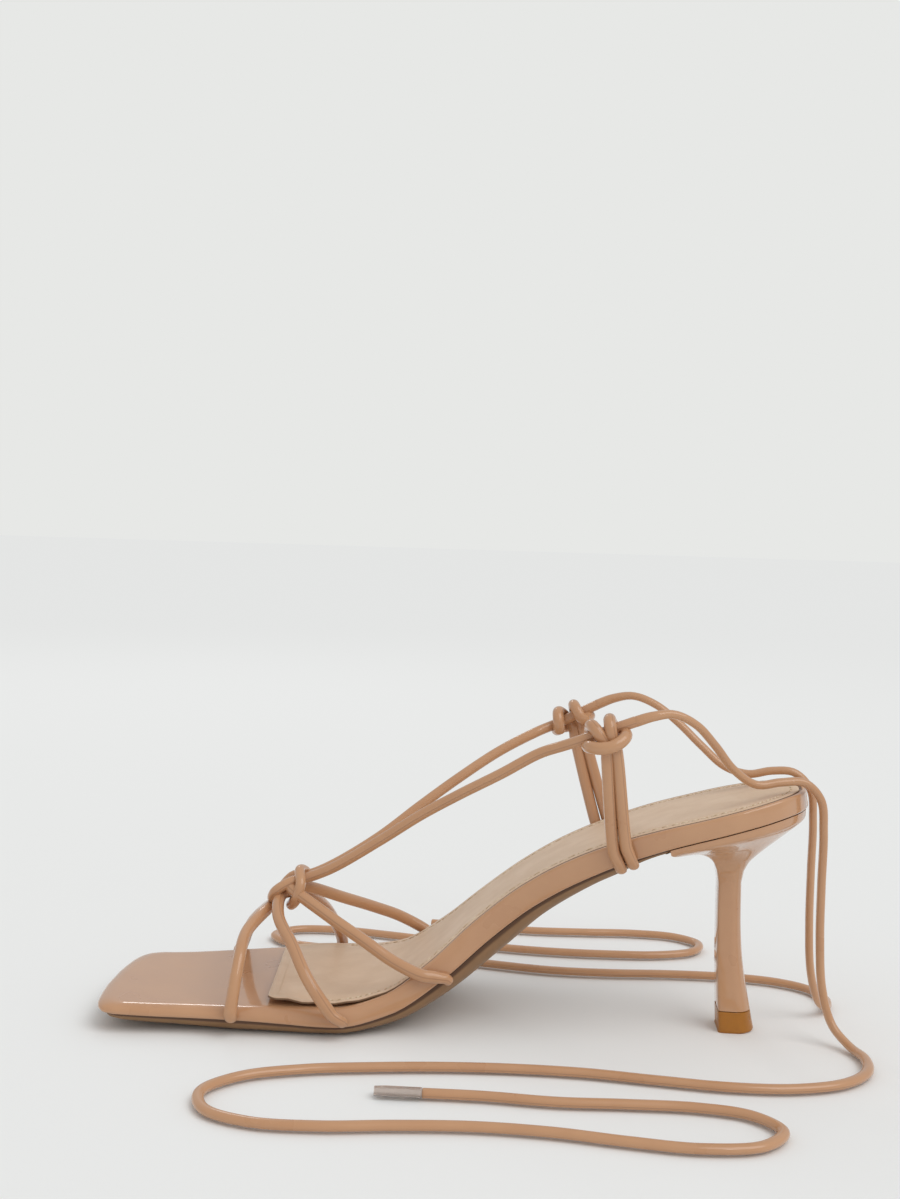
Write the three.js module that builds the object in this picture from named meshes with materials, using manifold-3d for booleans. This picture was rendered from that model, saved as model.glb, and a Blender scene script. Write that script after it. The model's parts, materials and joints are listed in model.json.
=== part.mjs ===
// Lace-up strappy sandal for the right foot, square toe, slim covered heel, in millimetres.
// +X points to the toe, +Y to the medial side and +Z up; the floor is z = 0.
// The origin is the centre of the top lift's floor face.
import * as THREE from "three";
import { mergeVertices } from "three/addons/utils/BufferGeometryUtils.js";
import Module from "manifold-3d";

const wasm = await Module();
wasm.setup();

// Driving dimensions of the last and the bottom.
const FOOTBED_LENGTH = 235.4;
const BALL_WIDTH = 76;
const SEAT_HEIGHT = 83.2;
const FOOTBED_THICKNESS = 5.5;
const OUTSOLE_THICKNESS = 3.2;
const OUTSOLE_INSET = 1.7;
const OUTSOLE_START = -1.3;
const SOCK_THICKNESS = 0.9;
const SOCK_GAP = 0.5;
const SOCK_MARGIN = 2.2;
const SOCK_FOREFOOT_MARGIN = 5;
const SOCK_FRONT = 180.8;
const SOCK_SLANT = 6.5;
const TOP_EDGE_RADIUS = 1;
const TOE_EDGE_RADIUS = 3.4;
const TOE_ROUND = 8.5;
const SEAT_ROUND = 30;
const GLUE_GAP = 0.3;

// Driving dimensions of the heel.
const HEEL_LIP = 49.5;
const HEEL_INSET = 0.7;
const HEEL_SHAFT_TOP = 50;
const HEEL_SHAFT_BACK = 20.6;
const HEEL_SHAFT_DEPTH = 8.1;
const HEEL_SHAFT_WIDTH = 9.4;
const TOP_LIFT_DEPTH = 12;
const TOP_LIFT_WIDTH = 13;
const TOP_LIFT_HEIGHT = 7;
const TOP_LIFT_BACK = 15.5;

// Driving dimensions of the straps and laces.
const STRAP_DIAMETER = 4.1;
const STRAP_FOOT_THICKNESS = 1.8;
const STRAP_FOOT_WIDTH = 4.8;
const LACE_WIDTH = 3.6;
const LACE_THICKNESS = 2.8;
const INSTEP_HEIGHT = 42;
const LOOP_SPREAD = 26.4;
const TIP_SLEEVE_LENGTH = 14;
const TIP_SLEEVE_DIAMETER = 4.6;
const SLEEVE_SIDES = 12;

const FOREFOOT_TOP = OUTSOLE_THICKNESS + GLUE_GAP + FOOTBED_THICKNESS;
const STRAP_RADIUS = STRAP_DIAMETER / 2;
const HEEL_TIP_FORWARD = TOP_LIFT_BACK + TOP_LIFT_DEPTH / 2;

// The last, from the back of the seat to the toe, a row for each section.
// at: share of the length; rise: share of the climb from forefoot to seat; swing and width: where
// the middle lies towards the medial side and how wide it is, as shares of the ball width;
// side: share of the footbed's thickness; floor: how deep the outsole reaches, as a share of
// the forefoot's height.
const LAST = [
  { at: 0.0, rise: 1.0, swing: -0.012, width: 0.66, side: 1.15, floor: 0.878 },
  { at: 0.038, rise: 0.982, swing: -0.012, width: 0.66, side: 1.15, floor: 0.878 },
  { at: 0.089, rise: 0.943, swing: -0.007, width: 0.655, side: 1.15, floor: 0.878 },
  { at: 0.151, rise: 0.888, swing: -0.005, width: 0.672, side: 1.15, floor: 0.878 },
  { at: 0.215, rise: 0.829, swing: -0.007, width: 0.653, side: 1.22, floor: 0.897 },
  { at: 0.278, rise: 0.756, swing: -0.013, width: 0.608, side: 1.32, floor: 1.08 },
  { at: 0.342, rise: 0.662, swing: -0.022, width: 0.573, side: 1.42, floor: 1.36 },
  { at: 0.405, rise: 0.538, swing: -0.034, width: 0.557, side: 1.43, floor: 1.5 },
  { at: 0.468, rise: 0.376, swing: -0.049, width: 0.6, side: 1.42, floor: 1.65 },
  { at: 0.531, rise: 0.194, swing: -0.06, width: 0.742, side: 1.33, floor: 1.51 },
  { at: 0.594, rise: 0.053, swing: -0.07, width: 0.9, side: 1.15, floor: 1.2 },
  { at: 0.658, rise: 0.003, swing: -0.067, width: 1.022, side: 1, floor: 1.0 },
  { at: 0.691, rise: 0.0, swing: -0.06, width: 1.025, side: 0.93, floor: 1.0 },
  { at: 0.722, rise: 0.0, swing: -0.049, width: 1.015, side: 0.85, floor: 1.0 },
  { at: 0.786, rise: 0.0, swing: -0.009, width: 0.962, side: 0.72, floor: 1.0 },
  { at: 0.85, rise: 0.0, swing: 0.034, width: 0.897, side: 0.67, floor: 0.9 },
  { at: 0.889, rise: 0.001, swing: 0.064, width: 0.86, side: 0.65, floor: 0.8 },
  { at: 0.938, rise: 0.006, swing: 0.104, width: 0.822, side: 0.62, floor: 0.71 },
  { at: 1.0, rise: 0.012, swing: 0.138, width: 0.79, side: 0.58, floor: 0.65 },
];
const TOE_SKEW = -0.02;
const TOE_SKEW_START = 0.75;
const WAIST_END = 0.532;
const BALL_START = 0.672;

// The square toe's rounding. at: share of the rounded length behind the tip; width: share of
// the width there.
const TOE_ROUNDING = [
  { at: 0, width: 0.24 },
  { at: 0.08, width: 0.52 },
  { at: 0.19, width: 0.74 },
  { at: 0.36, width: 0.88 },
  { at: 0.62, width: 0.965 },
  { at: 1, width: 1 },
];

// Vamp straps over the foot, from the medial foot over the crest under the front knot to the
// lateral foot. The feet are shares of the length with a lean towards the toe, in strap
// diameters; at: share of the length; out: share of half the ball width; up: share of the
// instep height.
const VAMP_STRAPS = [
  {
    medial: { at: 0.798, lean: 0 },
    arch: [
      { at: 0.794, out: 0.82, up: 0.56 },
      { at: 0.795, out: 0.5, up: 0.7 },
      { at: 0.777, out: 0.05, up: 0.8 },
      { at: 0.793, out: -0.3, up: 0.7 },
      { at: 0.823, out: -0.57, up: 0.5 },
    ],
    lateral: { at: 0.842, lean: 0.4 },
  },
  {
    medial: { at: 0.66, lean: -0.7 },
    arch: [
      { at: 0.692, out: 0.93, up: 0.46 },
      { at: 0.721, out: 0.7, up: 0.65 },
      { at: 0.753, out: 0.38, up: 0.81 },
      { at: 0.758, out: 0.05, up: 0.91 },
      { at: 0.734, out: -0.22, up: 0.87 },
      { at: 0.712, out: -0.66, up: 0.66 },
      { at: 0.699, out: -1.0, up: 0.4 },
    ],
    lateral: { at: 0.693, lean: 0 },
  },
  {
    medial: { at: 0.549, lean: -1.3 },
    arch: [
      { at: 0.578, out: 0.63, up: 0.555 },
      { at: 0.625, out: 0.54, up: 0.69 },
      { at: 0.68, out: 0.38, up: 0.83 },
      { at: 0.748, out: 0.08, up: 1.0 },
      { at: 0.722, out: -0.16, up: 0.93 },
      { at: 0.678, out: -0.45, up: 0.79 },
      { at: 0.636, out: -0.75, up: 0.65 },
      { at: 0.597, out: -0.95, up: 0.53 },
    ],
    lateral: { at: 0.566, lean: -0.3 },
  },
];

// How a strap turns in under the footbed's edge, from its end to the top of the side.
// out: how far outside the edge, in strap radii; down: share of the side's height; below: how
// far under the side, in pressed strap thicknesses.
const STRAP_FOOT = [
  { out: -0.45, down: 1, below: 0.84 },
  { out: 0.25, down: 1, below: 0.8 },
  { out: 0.74, down: 1, below: 0.45 },
  { out: 1.05, down: 0.92, below: 0 },
  { out: 1.22, down: 0.6, below: 0 },
  { out: 1.27, down: 0.22, below: 0 },
];

// The lace of each side between the front knot and its ankle loop, with at and up as above and
// out as a share of the loops' spread.
const LACE_MEDIAL = [
  { at: 0.722, out: 0.1, up: 1.06 },
  { at: 0.684, out: 0.13, up: 1.155 },
  { at: 0.612, out: 0.24, up: 1.42 },
  { at: 0.552, out: 0.38, up: 1.66 },
  { at: 0.497, out: 0.53, up: 1.855 },
  { at: 0.437, out: 0.69, up: 2.055 },
  { at: 0.384, out: 0.76, up: 2.235 },
  { at: 0.348, out: 0.87, up: 2.319 },
];
const LACE_LATERAL = [
  { at: 0.722, out: -0.08, up: 1.06 },
  { at: 0.688, out: -0.1, up: 1.145 },
  { at: 0.62, out: -0.2, up: 1.385 },
  { at: 0.561, out: -0.38, up: 1.64 },
  { at: 0.505, out: -0.57, up: 1.87 },
  { at: 0.446, out: -0.76, up: 2.09 },
  { at: 0.392, out: -0.9, up: 2.25 },
];

// The bight that the two laces form round the vamp straps, from the medial to the lateral lace.
const BIGHT = [
  { at: 0.745, out: 0.19, up: 1.03 },
  { at: 0.766, out: 0.19, up: 0.95 },
  { at: 0.773, out: 0.05, up: 0.87 },
  { at: 0.765, out: -0.13, up: 0.92 },
  { at: 0.747, out: -0.16, up: 1.03 },
];

// The keeper that binds the laces to the vamp straps, a closed ring of cord.
const KEEPER = [
  { at: 0.733, out: 0.06, up: 1.115 },
  { at: 0.727, out: 0.3, up: 1.03 },
  { at: 0.733, out: 0.3, up: 0.91 },
  { at: 0.745, out: 0.04, up: 0.825 },
  { at: 0.733, out: -0.24, up: 0.91 },
  { at: 0.727, out: -0.24, up: 1.03 },
];

// Each ankle loop is a doubled strap hitched round its lace: its side, where its foot and its
// knot lie as shares of the length, the knot's height as a share of the instep height and the
// climb of the lace through it.
const ANKLE_LOOPS = [
  { side: 1, foot: 0.27, knot: 0.293, up: 2.448, lean: 0.38 },
  { side: -1, foot: 0.288, knot: 0.336, up: 2.395, lean: 0.52 },
];
const STRAND_SPACING = 0.9;

// The hitch in strap diameters, along the lace towards the heel, up and outward: the two strands
// that rise outside the lace and turn down inside it, and the bar that joins them outside.
const HITCH_STRANDS = [
  [
    { along: -0.69, up: -2.0, outward: 0.72 },
    { along: -0.42, up: -1.1, outward: 0.82 },
    { along: -0.52, up: -0.4, outward: 0.95 },
    { along: -0.73, up: 0.42, outward: 0.84 },
    { along: -0.94, up: 0.86, outward: 0.1 },
    { along: -1.1, up: 0.5, outward: -0.78 },
    { along: -1.33, up: -0.12, outward: -0.98 },
    { along: -1.55, up: -0.5, outward: -0.72 },
  ],
  [
    { along: 0.1, up: -2.2, outward: 0.72 },
    { along: 0.26, up: -1.2, outward: 0.82 },
    { along: 0.22, up: -0.48, outward: 0.95 },
    { along: 0.38, up: 0.4, outward: 0.88 },
    { along: 0.55, up: 0.84, outward: 0.1 },
    { along: 0.64, up: 0.4, outward: -0.8 },
    { along: 0.72, up: -0.3, outward: -0.96 },
    { along: 1.0, up: -0.66, outward: -0.66 },
  ],
];
const HITCH_BAR = [
  { along: -1.42, up: -0.46, outward: -0.75 },
  { along: -1.78, up: -0.55, outward: 0.15 },
  { along: -1.6, up: -0.6, outward: 1.15 },
  { along: -0.98, up: -0.84, outward: 1.7 },
  { along: -0.22, up: -1.0, outward: 1.84 },
  { along: 0.55, up: -0.96, outward: 1.64 },
  { along: 1.2, up: -0.77, outward: 1.06 },
  { along: 1.36, up: -0.62, outward: 0.1 },
  { along: 0.9, up: -0.6, outward: -0.7 },
];

// The loose laces, from the ankle loops over the seat and down to the floor, unwound.
const TIE_MEDIAL_POINTS = [
  [38.2, 25.9, 106.3],
  [32.5, 25.6, 108.2],
  [25.5, 23.9, 108.9],
  [18, 21.5, 105.4],
  [11.5, 18.8, 98.6],
  [5, 16.1, 90.6],
  [-3, 13.4, 85.4],
  [-11.5, 11.2, 86.2],
  [-19.5, 9.8, 86.1],
  [-25, 9.3, 80.5],
  [-26.2, 9, 70],
  [-26, 9, 52],
  [-26, 9.2, 34],
  [-27, 10, 18],
  [-30, 12.5, 7],
  [-34.5, 18.5, 2.4],
  [-37.5, 28, 2],
  [-35.5, 40, 2],
  [-27, 50, 2],
  [-12, 56.5, 2],
  [8, 58.5, 2],
  [30, 56.5, 2],
  [52, 54, 2],
  [74, 54, 2],
  [96, 56, 2],
  [117, 59.5, 2],
  [138, 64.5, 2],
  [155, 72.5, 2],
  [164, 85, 2],
  [160, 97.5, 2],
  [146, 104, 2],
  [127, 104, 2],
  [106, 100.5, 2],
  [84, 98, 2],
  [62, 98.5, 2],
  [41, 101.5, 2],
  [22, 103, 2],
  [5, 99, 2],
  [-2, 88.5, 2],
  [5, 79, 2],
  [20, 75.5, 2],
  [40, 76, 2],
  [61, 77.5, 2],
  [82, 76.5, 2],
  [100, 77, 2],
];
const TIE_LATERAL_POINTS = [
  [48.8, -26, 105.2],
  [43, -25.8, 107.7],
  [36, -24.8, 109],
  [28, -22.8, 106.4],
  [20, -20.1, 100.6],
  [12, -17.4, 93.2],
  [4, -14.9, 86.6],
  [-4, -12.8, 84.6],
  [-12, -11.4, 86.3],
  [-19.5, -10.4, 86.1],
  [-25, -10, 80.5],
  [-26.2, -10, 70],
  [-26, -10, 52],
  [-26, -10.2, 34],
  [-27, -11, 18],
  [-30, -13.5, 7],
  [-34, -19.5, 2.4],
  [-36, -29, 2],
  [-32, -39.5, 2],
  [-21, -46.5, 2],
  [-3, -49.5, 2],
  [18, -49, 2],
  [40, -46.5, 2],
  [62, -46, 2],
  [84, -49.5, 2],
  [106, -54.5, 2],
  [128, -57.5, 2],
  [149, -59, 2],
  [166, -63.5, 2],
  [173, -73, 2],
  [166, -82, 2],
  [149, -84.5, 2],
  [128, -81, 2],
  [106, -76, 2],
  [84, -72, 2],
  [62, -70, 2],
  [40, -70.5, 2],
  [20, -73, 2],
  [6, -80, 2],
  [3, -91, 2],
  [12, -99.5, 2],
  [28, -101.5, 2],
  [49, -99.5, 2],
  [70, -98, 2],
  [92, -99.5, 2],
  [112, -102, 2],
];
const TIE_STEP = 11.4;
const TIE_SIDES = 8;

// Value of one column of a table at a share of its length, by monotone cubic steps.
function columnAt(rows, column, at) {
  const last = rows.length - 1;
  if (at <= rows[0].at) return rows[0][column];
  if (at >= rows[last].at) return rows[last][column];
  const slope = (k) => (rows[k + 1][column] - rows[k][column]) / (rows[k + 1].at - rows[k].at);
  const tangent = (k) => {
    if (k === 0) return slope(0);
    if (k === last) return slope(last - 1);
    const before = slope(k - 1);
    const after = slope(k);
    return before * after <= 0 ? 0 : (2 * before * after) / (before + after);
  };
  const i = rows.findIndex((row) => row.at > at) - 1;
  const span = rows[i + 1].at - rows[i].at;
  const t = (at - rows[i].at) / span;
  const rise = rows[i + 1][column] - rows[i][column];
  const startPull = span * tangent(i) * t * (1 - t) ** 2;
  const endPull = span * tangent(i + 1) * t * t * (1 - t);
  return rows[i][column] + rise * t * t * (3 - 2 * t) + startPull - endPull;
}

const smoothstep = THREE.MathUtils.smoothstep;
const lerp = THREE.MathUtils.lerp;

// Height of the footbed's top above the floor.
function topHeight(x) {
  const rise = columnAt(LAST, "rise", x / FOOTBED_LENGTH);
  return FOREFOOT_TOP + rise * (SEAT_HEIGHT - FOREFOOT_TOP);
}

// Depth of the seam under the footbed's side, and of the outsole's floor side.
function sideHeight(x) {
  return columnAt(LAST, "side", x / FOOTBED_LENGTH) * FOOTBED_THICKNESS;
}

function soleDepth(x) {
  return columnAt(LAST, "floor", x / FOOTBED_LENGTH) * FOREFOOT_TOP;
}

// A point given by its plan position and its depth below the footbed's top, square to it.
function place(x, y, depth) {
  const reach = 0.5;
  const back = Math.max(x - reach, 0);
  const front = Math.min(x + reach, FOOTBED_LENGTH);
  const slope = front > back ? (topHeight(front) - topHeight(back)) / (front - back) : 0;
  const scale = depth / Math.hypot(slope, 1);
  return new THREE.Vector3(x + slope * scale, y, topHeight(x) - scale);
}

// Half the width at a section, drawn in round the seat and at the toe's corners.
function halfWidth(x) {
  const half = (columnAt(LAST, "width", x / FOOTBED_LENGTH) * BALL_WIDTH) / 2;
  if (x < SEAT_ROUND) return half * Math.sqrt(1 - (1 - x / SEAT_ROUND) ** 2);
  return half * columnAt(TOE_ROUNDING, "width", (FOOTBED_LENGTH - x) / TOE_ROUND);
}

// The plan point on one side's edge: side is 1 for medial and -1 for lateral.
function edgePoint(x, side) {
  const middle = columnAt(LAST, "swing", x / FOOTBED_LENGTH) * BALL_WIDTH;
  const across = side * halfWidth(x);
  const skew = TOE_SKEW * smoothstep(x / FOOTBED_LENGTH, TOE_SKEW_START, 1);
  return new THREE.Vector2(x + skew * across, middle + across);
}

// Section positions between two shares of the sole, close together round the seat and toe corners.
function sections(from, to) {
  const spots = [];
  const seatSteps = 8;
  for (let k = 0; k < seatSteps; k += 1) {
    spots.push(SEAT_ROUND * (1 - Math.cos((k / seatSteps) * (Math.PI / 2))));
  }
  const plainEnd = FOOTBED_LENGTH - TOE_ROUND;
  const plainSteps = 26;
  for (let k = 0; k < plainSteps; k += 1) {
    spots.push(lerp(SEAT_ROUND, plainEnd, k / plainSteps));
  }
  const corners = TOE_ROUNDING.map((row) => FOOTBED_LENGTH - row.at * TOE_ROUND).reverse();
  spots.push(...corners);
  const margin = 0.3;
  const inside = spots.filter((x) => x > from + margin && x < to - margin);
  return [from, ...inside, to];
}

// A closed plan loop: the medial edge from back to front, then the lateral edge back again.
// A slant draws its medial front corner back and its lateral one forward.
function planLoop(spots, slant = 0) {
  const front = spots[spots.length - 1];
  const slanted = (x, side) => x - (side * slant * smoothstep(x, front / 2, front)) / 2;
  const medial = spots.map((x) => edgePoint(slanted(x, 1), 1));
  const lateral = spots.map((x) => edgePoint(slanted(x, -1), -1));
  return [...medial, ...lateral.reverse()];
}

// The loop moved inwards, by an amount that may depend on the point.
function insetLoop(loop, amount) {
  const count = loop.length;
  return loop.map((point, i) => {
    let before = loop[(i + count - 1) % count];
    let after = loop[(i + 1) % count];
    if (before.distanceTo(point) < 1e-6) before = loop[(i + count - 2) % count];
    if (after.distanceTo(point) < 1e-6) after = loop[(i + 2) % count];
    const a = point.clone().sub(before).normalize();
    const b = after.clone().sub(point).normalize();
    const outward = new THREE.Vector2(-(a.y + b.y), a.x + b.x).normalize();
    return point.clone().addScaledVector(outward, -amount(point.x));
  });
}

// A closed surface through rings with equally many points, capped at both ends by strips that
// join each point to the one opposite.
function loft(rings) {
  const count = rings[0].length;
  const corners = [];
  const face = (a, b, c) => corners.push(a, b, c);
  const quad = (a, b, c, d) => {
    face(a, b, c);
    face(a, c, d);
  };
  for (let k = 0; k + 1 < rings.length; k += 1) {
    for (let i = 0; i < count; i += 1) {
      const j = (i + 1) % count;
      quad(rings[k][i], rings[k][j], rings[k + 1][j], rings[k + 1][i]);
    }
  }
  const first = rings[0];
  const last = rings[rings.length - 1];
  for (let i = 0; i + 1 < count / 2; i += 1) {
    const j = count - 1 - i;
    quad(first[j], first[j - 1], first[i + 1], first[i]);
    quad(last[i], last[i + 1], last[j - 1], last[j]);
  }
  return closedGeometry(corners);
}

// A closed ring of sections without ends.
function closedLoft(rings) {
  const count = rings[0].length;
  const corners = [];
  rings.forEach((ring, k) => {
    const next = rings[(k + 1) % rings.length];
    for (let i = 0; i < count; i += 1) {
      const j = (i + 1) % count;
      corners.push(ring[i], ring[j], next[j], ring[i], next[j], next[i]);
    }
  });
  return closedGeometry(corners);
}

// Merges the corners of loose triangles, drops the empty ones and turns the faces outwards.
function closedGeometry(corners) {
  const loose = new THREE.BufferGeometry().setFromPoints(corners);
  const merged = mergeVertices(loose, 1e-4);
  const kept = [];
  for (let i = 0; i < merged.index.count; i += 3) {
    const [a, b, c] = [0, 1, 2].map((k) => merged.index.getX(i + k));
    if (a !== b && b !== c && c !== a) kept.push([a, b, c]);
  }
  const point = (k) => new THREE.Vector3().fromBufferAttribute(merged.attributes.position, k);
  const volume = kept.reduce((sum, [a, b, c]) => sum + point(a).dot(point(b).cross(point(c))), 0);
  merged.setIndex(kept.flatMap(([a, b, c]) => (volume < 0 ? [a, c, b] : [a, b, c])));
  return merged;
}

function toSolid(geometry) {
  const plain = geometry.clone();
  plain.deleteAttribute("normal");
  plain.deleteAttribute("uv");
  const merged = mergeVertices(plain, 1e-4);
  return new wasm.Manifold(
    new wasm.Mesh({
      numProp: 3,
      vertProperties: new Float32Array(merged.attributes.position.array),
      triVerts: new Uint32Array(merged.index.array),
    }),
  );
}

function joined(geometries) {
  const solid = geometries.map(toSolid).reduce((sum, next) => sum.add(next));
  const mesh = solid.getMesh();
  const geometry = new THREE.BufferGeometry();
  geometry.setAttribute("position", new THREE.BufferAttribute(mesh.vertProperties, 3));
  geometry.setIndex(new THREE.BufferAttribute(mesh.triVerts, 1));
  return geometry;
}

// A layer of the bottom: its rings are rows of inset and depth, from its underside to its top.
function layer(spots, rows, slant = 0) {
  const loop = planLoop(spots, slant);
  const rings = rows.map((row) =>
    insetLoop(loop, row.inset).map((point) => place(point.x, point.y, row.depth(point.x))),
  );
  return loft(rings);
}

const steady = (value) => () => value;

// How far a section lies in the forefoot: 0 up to the waist and 1 from the ball on.
const forefootShare = (x) => smoothstep(x / FOOTBED_LENGTH, WAIST_END, BALL_START);

// How the footbed's side turns in at the seam: how far inwards and how far above the seam.
const SEAM_TUCK = [
  { inset: 1.2, above: 0 },
  { inset: 0.3, above: 0.3 },
  { inset: 0, above: 0.8 },
];
const ROUND_ABOVE_SEAM = 1;
const RIM_WIDTH = 0.3;
const RECESS_WALL = 0.4;

// Depth of the recess that takes the sock lining; it runs out at the ball.
const sockRecess = (x) => (SOCK_THICKNESS + GLUE_GAP) * (1 - forefootShare(x));

// The side is upright under a small round at the seat and one big round in the forefoot.
function buildFootbed() {
  const inward = (x) => lerp(TOP_EDGE_RADIUS, TOE_EDGE_RADIUS, forefootShare(x));
  const down = (x) => lerp(TOP_EDGE_RADIUS, sideHeight(x) - ROUND_ABOVE_SEAM, forefootShare(x));
  const rows = SEAM_TUCK.map((row) => ({
    inset: steady(row.inset),
    depth: (x) => sideHeight(x) - row.above,
  }));
  for (const turn of [0, 30, 60, 90].map(THREE.MathUtils.degToRad)) {
    rows.push({
      inset: (x) => inward(x) * (1 - Math.cos(turn)),
      depth: (x) => down(x) * (1 - Math.sin(turn)),
    });
  }
  rows.push({ inset: (x) => inward(x) + RIM_WIDTH, depth: steady(0) });
  rows.push({ inset: (x) => inward(x) + RIM_WIDTH + RECESS_WALL, depth: sockRecess });
  return layer(sections(0, FOOTBED_LENGTH), rows);
}

// The rounded side of the outsole, from its floor face up, in shares of its thickness.
const SOLE_SIDE = [
  { inset: 1.9, depth: 1 },
  { inset: 0.8, depth: 0.84 },
  { inset: 0.2, depth: 0.5 },
  { inset: 0, depth: 0 },
];

function buildOutsole() {
  const top = (x) => sideHeight(x) + GLUE_GAP;
  const thickness = (x) => soleDepth(x) - top(x);
  const rows = SOLE_SIDE.map((row) => ({
    inset: (x) => OUTSOLE_INSET + row.inset * thickness(x),
    depth: (x) => top(x) + row.depth * thickness(x),
  }));
  return layer(sections(HEEL_LIP + OUTSOLE_START, FOOTBED_LENGTH), rows);
}

function buildSockLining() {
  const margin = (x) => lerp(SOCK_MARGIN, SOCK_FOREFOOT_MARGIN, forefootShare(x));
  const under = (x) => sockRecess(x) - SOCK_GAP;
  const rounding = SOCK_THICKNESS / 3;
  const rows = [
    { inset: margin, depth: under },
    { inset: margin, depth: (x) => under(x) - SOCK_THICKNESS + rounding },
    { inset: (x) => margin(x) + rounding, depth: (x) => under(x) - SOCK_THICKNESS },
  ];
  return layer(sections(0, SOCK_FRONT), rows, SOCK_SLANT);
}

// Sections from back to front of the heel, with the share of half the width at each.
const HEEL_SECTIONS = [
  { at: 0, width: 0 },
  { at: 0.035, width: 0.36 },
  { at: 0.11, width: 0.6 },
  { at: 0.22, width: 0.8 },
  { at: 0.38, width: 0.95 },
  { at: 0.56, width: 1 },
  { at: 0.74, width: 1 },
  { at: 0.9, width: 0.98 },
  { at: 1, width: 0.88 },
];

// How the cup runs from the seat down to the shaft. reach: share of the way out from the shaft;
// back and front: share of the drop from the seat at the heel's back and at its breast.
const HEEL_CUP = [
  { reach: 1, back: 0, front: 0 },
  { reach: 0.99, back: 0.1, front: 0.1 },
  { reach: 0.93, back: 0.165, front: 0.15 },
  { reach: 0.78, back: 0.27, front: 0.18 },
  { reach: 0.6, back: 0.39, front: 0.2 },
  { reach: 0.42, back: 0.51, front: 0.23 },
  { reach: 0.25, back: 0.63, front: 0.32 },
  { reach: 0.12, back: 0.735, front: 0.48 },
  { reach: 0.04, back: 0.85, front: 0.7 },
];

// The shaft from its top down to the top lift. fall: share of the shaft's height; flare: share of
// the way from the neck out to the top lift's outline.
const HEEL_SHAFT = [
  { fall: 0, flare: 0 },
  { fall: 0.25, flare: 0.02 },
  { fall: 0.5, flare: 0.12 },
  { fall: 0.75, flare: 0.38 },
  { fall: 1, flare: 0.8 },
];

// One level ring of the heel: the back's position, the depth, the width and the height.
function heelRing(back, depth, width, height) {
  const point = (row, side) =>
    new THREE.Vector3(back + depth * row.at, (side * row.width * width) / 2, height);
  const medial = HEEL_SECTIONS.map((row) => point(row, 1));
  const lateral = HEEL_SECTIONS.map((row) => point(row, -1));
  return [...medial, ...lateral.reverse()];
}

function shaftRing(row) {
  const low = TOP_LIFT_HEIGHT + GLUE_GAP;
  const back = lerp(HEEL_SHAFT_BACK, TOP_LIFT_BACK, row.flare);
  const depth = lerp(HEEL_SHAFT_DEPTH, TOP_LIFT_DEPTH, row.flare);
  const width = lerp(HEEL_SHAFT_WIDTH, TOP_LIFT_WIDTH, row.flare);
  return heelRing(back, depth, width, lerp(HEEL_SHAFT_TOP, low, row.fall));
}

function buildHeel() {
  const neck = shaftRing(HEEL_SHAFT[0]);
  const spots = HEEL_SECTIONS.map((row) => HEEL_LIP * row.at);
  const seat = insetLoop(planLoop(spots), steady(HEEL_INSET));
  const seatRing = seat.map((point) => place(point.x, point.y, sideHeight(point.x) + GLUE_GAP));
  const cupRings = HEEL_CUP.map((row) =>
    seatRing.map((high, i) => {
      const low = neck[i];
      const section = i < HEEL_SECTIONS.length ? i : seatRing.length - 1 - i;
      const drop = lerp(row.back, row.front, HEEL_SECTIONS[section].at ** 1.5);
      return new THREE.Vector3(
        lerp(low.x, high.x, row.reach),
        lerp(low.y, high.y, row.reach),
        lerp(high.z, low.z, drop),
      );
    }),
  );
  return loft([...cupRings, ...HEEL_SHAFT.map(shaftRing)]);
}

// The top lift from its top, which carries on the shaft, down to its chamfered floor face.
const TOP_LIFT = [
  { height: TOP_LIFT_HEIGHT, flare: HEEL_SHAFT[HEEL_SHAFT.length - 1].flare },
  { height: 0.9, flare: 1.05 },
  { height: 0, flare: 0.87 },
];

function buildTopLift() {
  const rings = TOP_LIFT.map((row) => {
    const depth = lerp(HEEL_SHAFT_DEPTH, TOP_LIFT_DEPTH, row.flare);
    const width = lerp(HEEL_SHAFT_WIDTH, TOP_LIFT_WIDTH, row.flare);
    const back = lerp(HEEL_SHAFT_BACK, TOP_LIFT_BACK, row.flare);
    return heelRing(back, depth, width, row.height);
  });
  return loft(rings);
}

// The thin way of a cord's section at each of its points, carried along without twist from a
// given way at its start. A way given at its end too is reached by an even turn on the way.
function thinWays(points, startWay, endWay) {
  const last = points.length - 1;
  const alongs = points.map((_, k) => {
    const before = points[Math.max(k - 1, 0)];
    return points[Math.min(k + 1, last)].clone().sub(before).normalize();
  });
  const square = (way, along) => way.clone().addScaledVector(along, -way.dot(along)).normalize();
  const thins = [];
  alongs.forEach((along, k) => thins.push(square(k === 0 ? startWay : thins[k - 1], along)));
  const wanted = square(endWay ?? thins[last], alongs[last]);
  const across = alongs[last].clone().cross(thins[last]);
  const turn = Math.atan(wanted.dot(across) / wanted.dot(thins[last]));
  thins.forEach((thin, k) => thin.applyAxisAngle(alongs[k], (turn * k) / last));
  return { alongs, thins };
}

// Rings of a cord's section along its points. halves gives half the width and half the
// thickness at a point.
function cordRings(points, ways, halves, sides) {
  return points.map((point, k) => {
    const thin = ways.thins[k];
    const wide = ways.alongs[k].clone().cross(thin);
    const [halfWide, halfThin] = halves(k);
    const ring = [];
    for (let i = 0; i < sides; i += 1) {
      const turn = ((i + 0.5) / sides) * 2 * Math.PI;
      const spot = point.clone().addScaledVector(wide, halfWide * Math.cos(turn));
      ring.push(spot.addScaledVector(thin, halfThin * Math.sin(turn)));
    }
    return ring;
  });
}

const STRAP_SIDES = 8;

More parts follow.
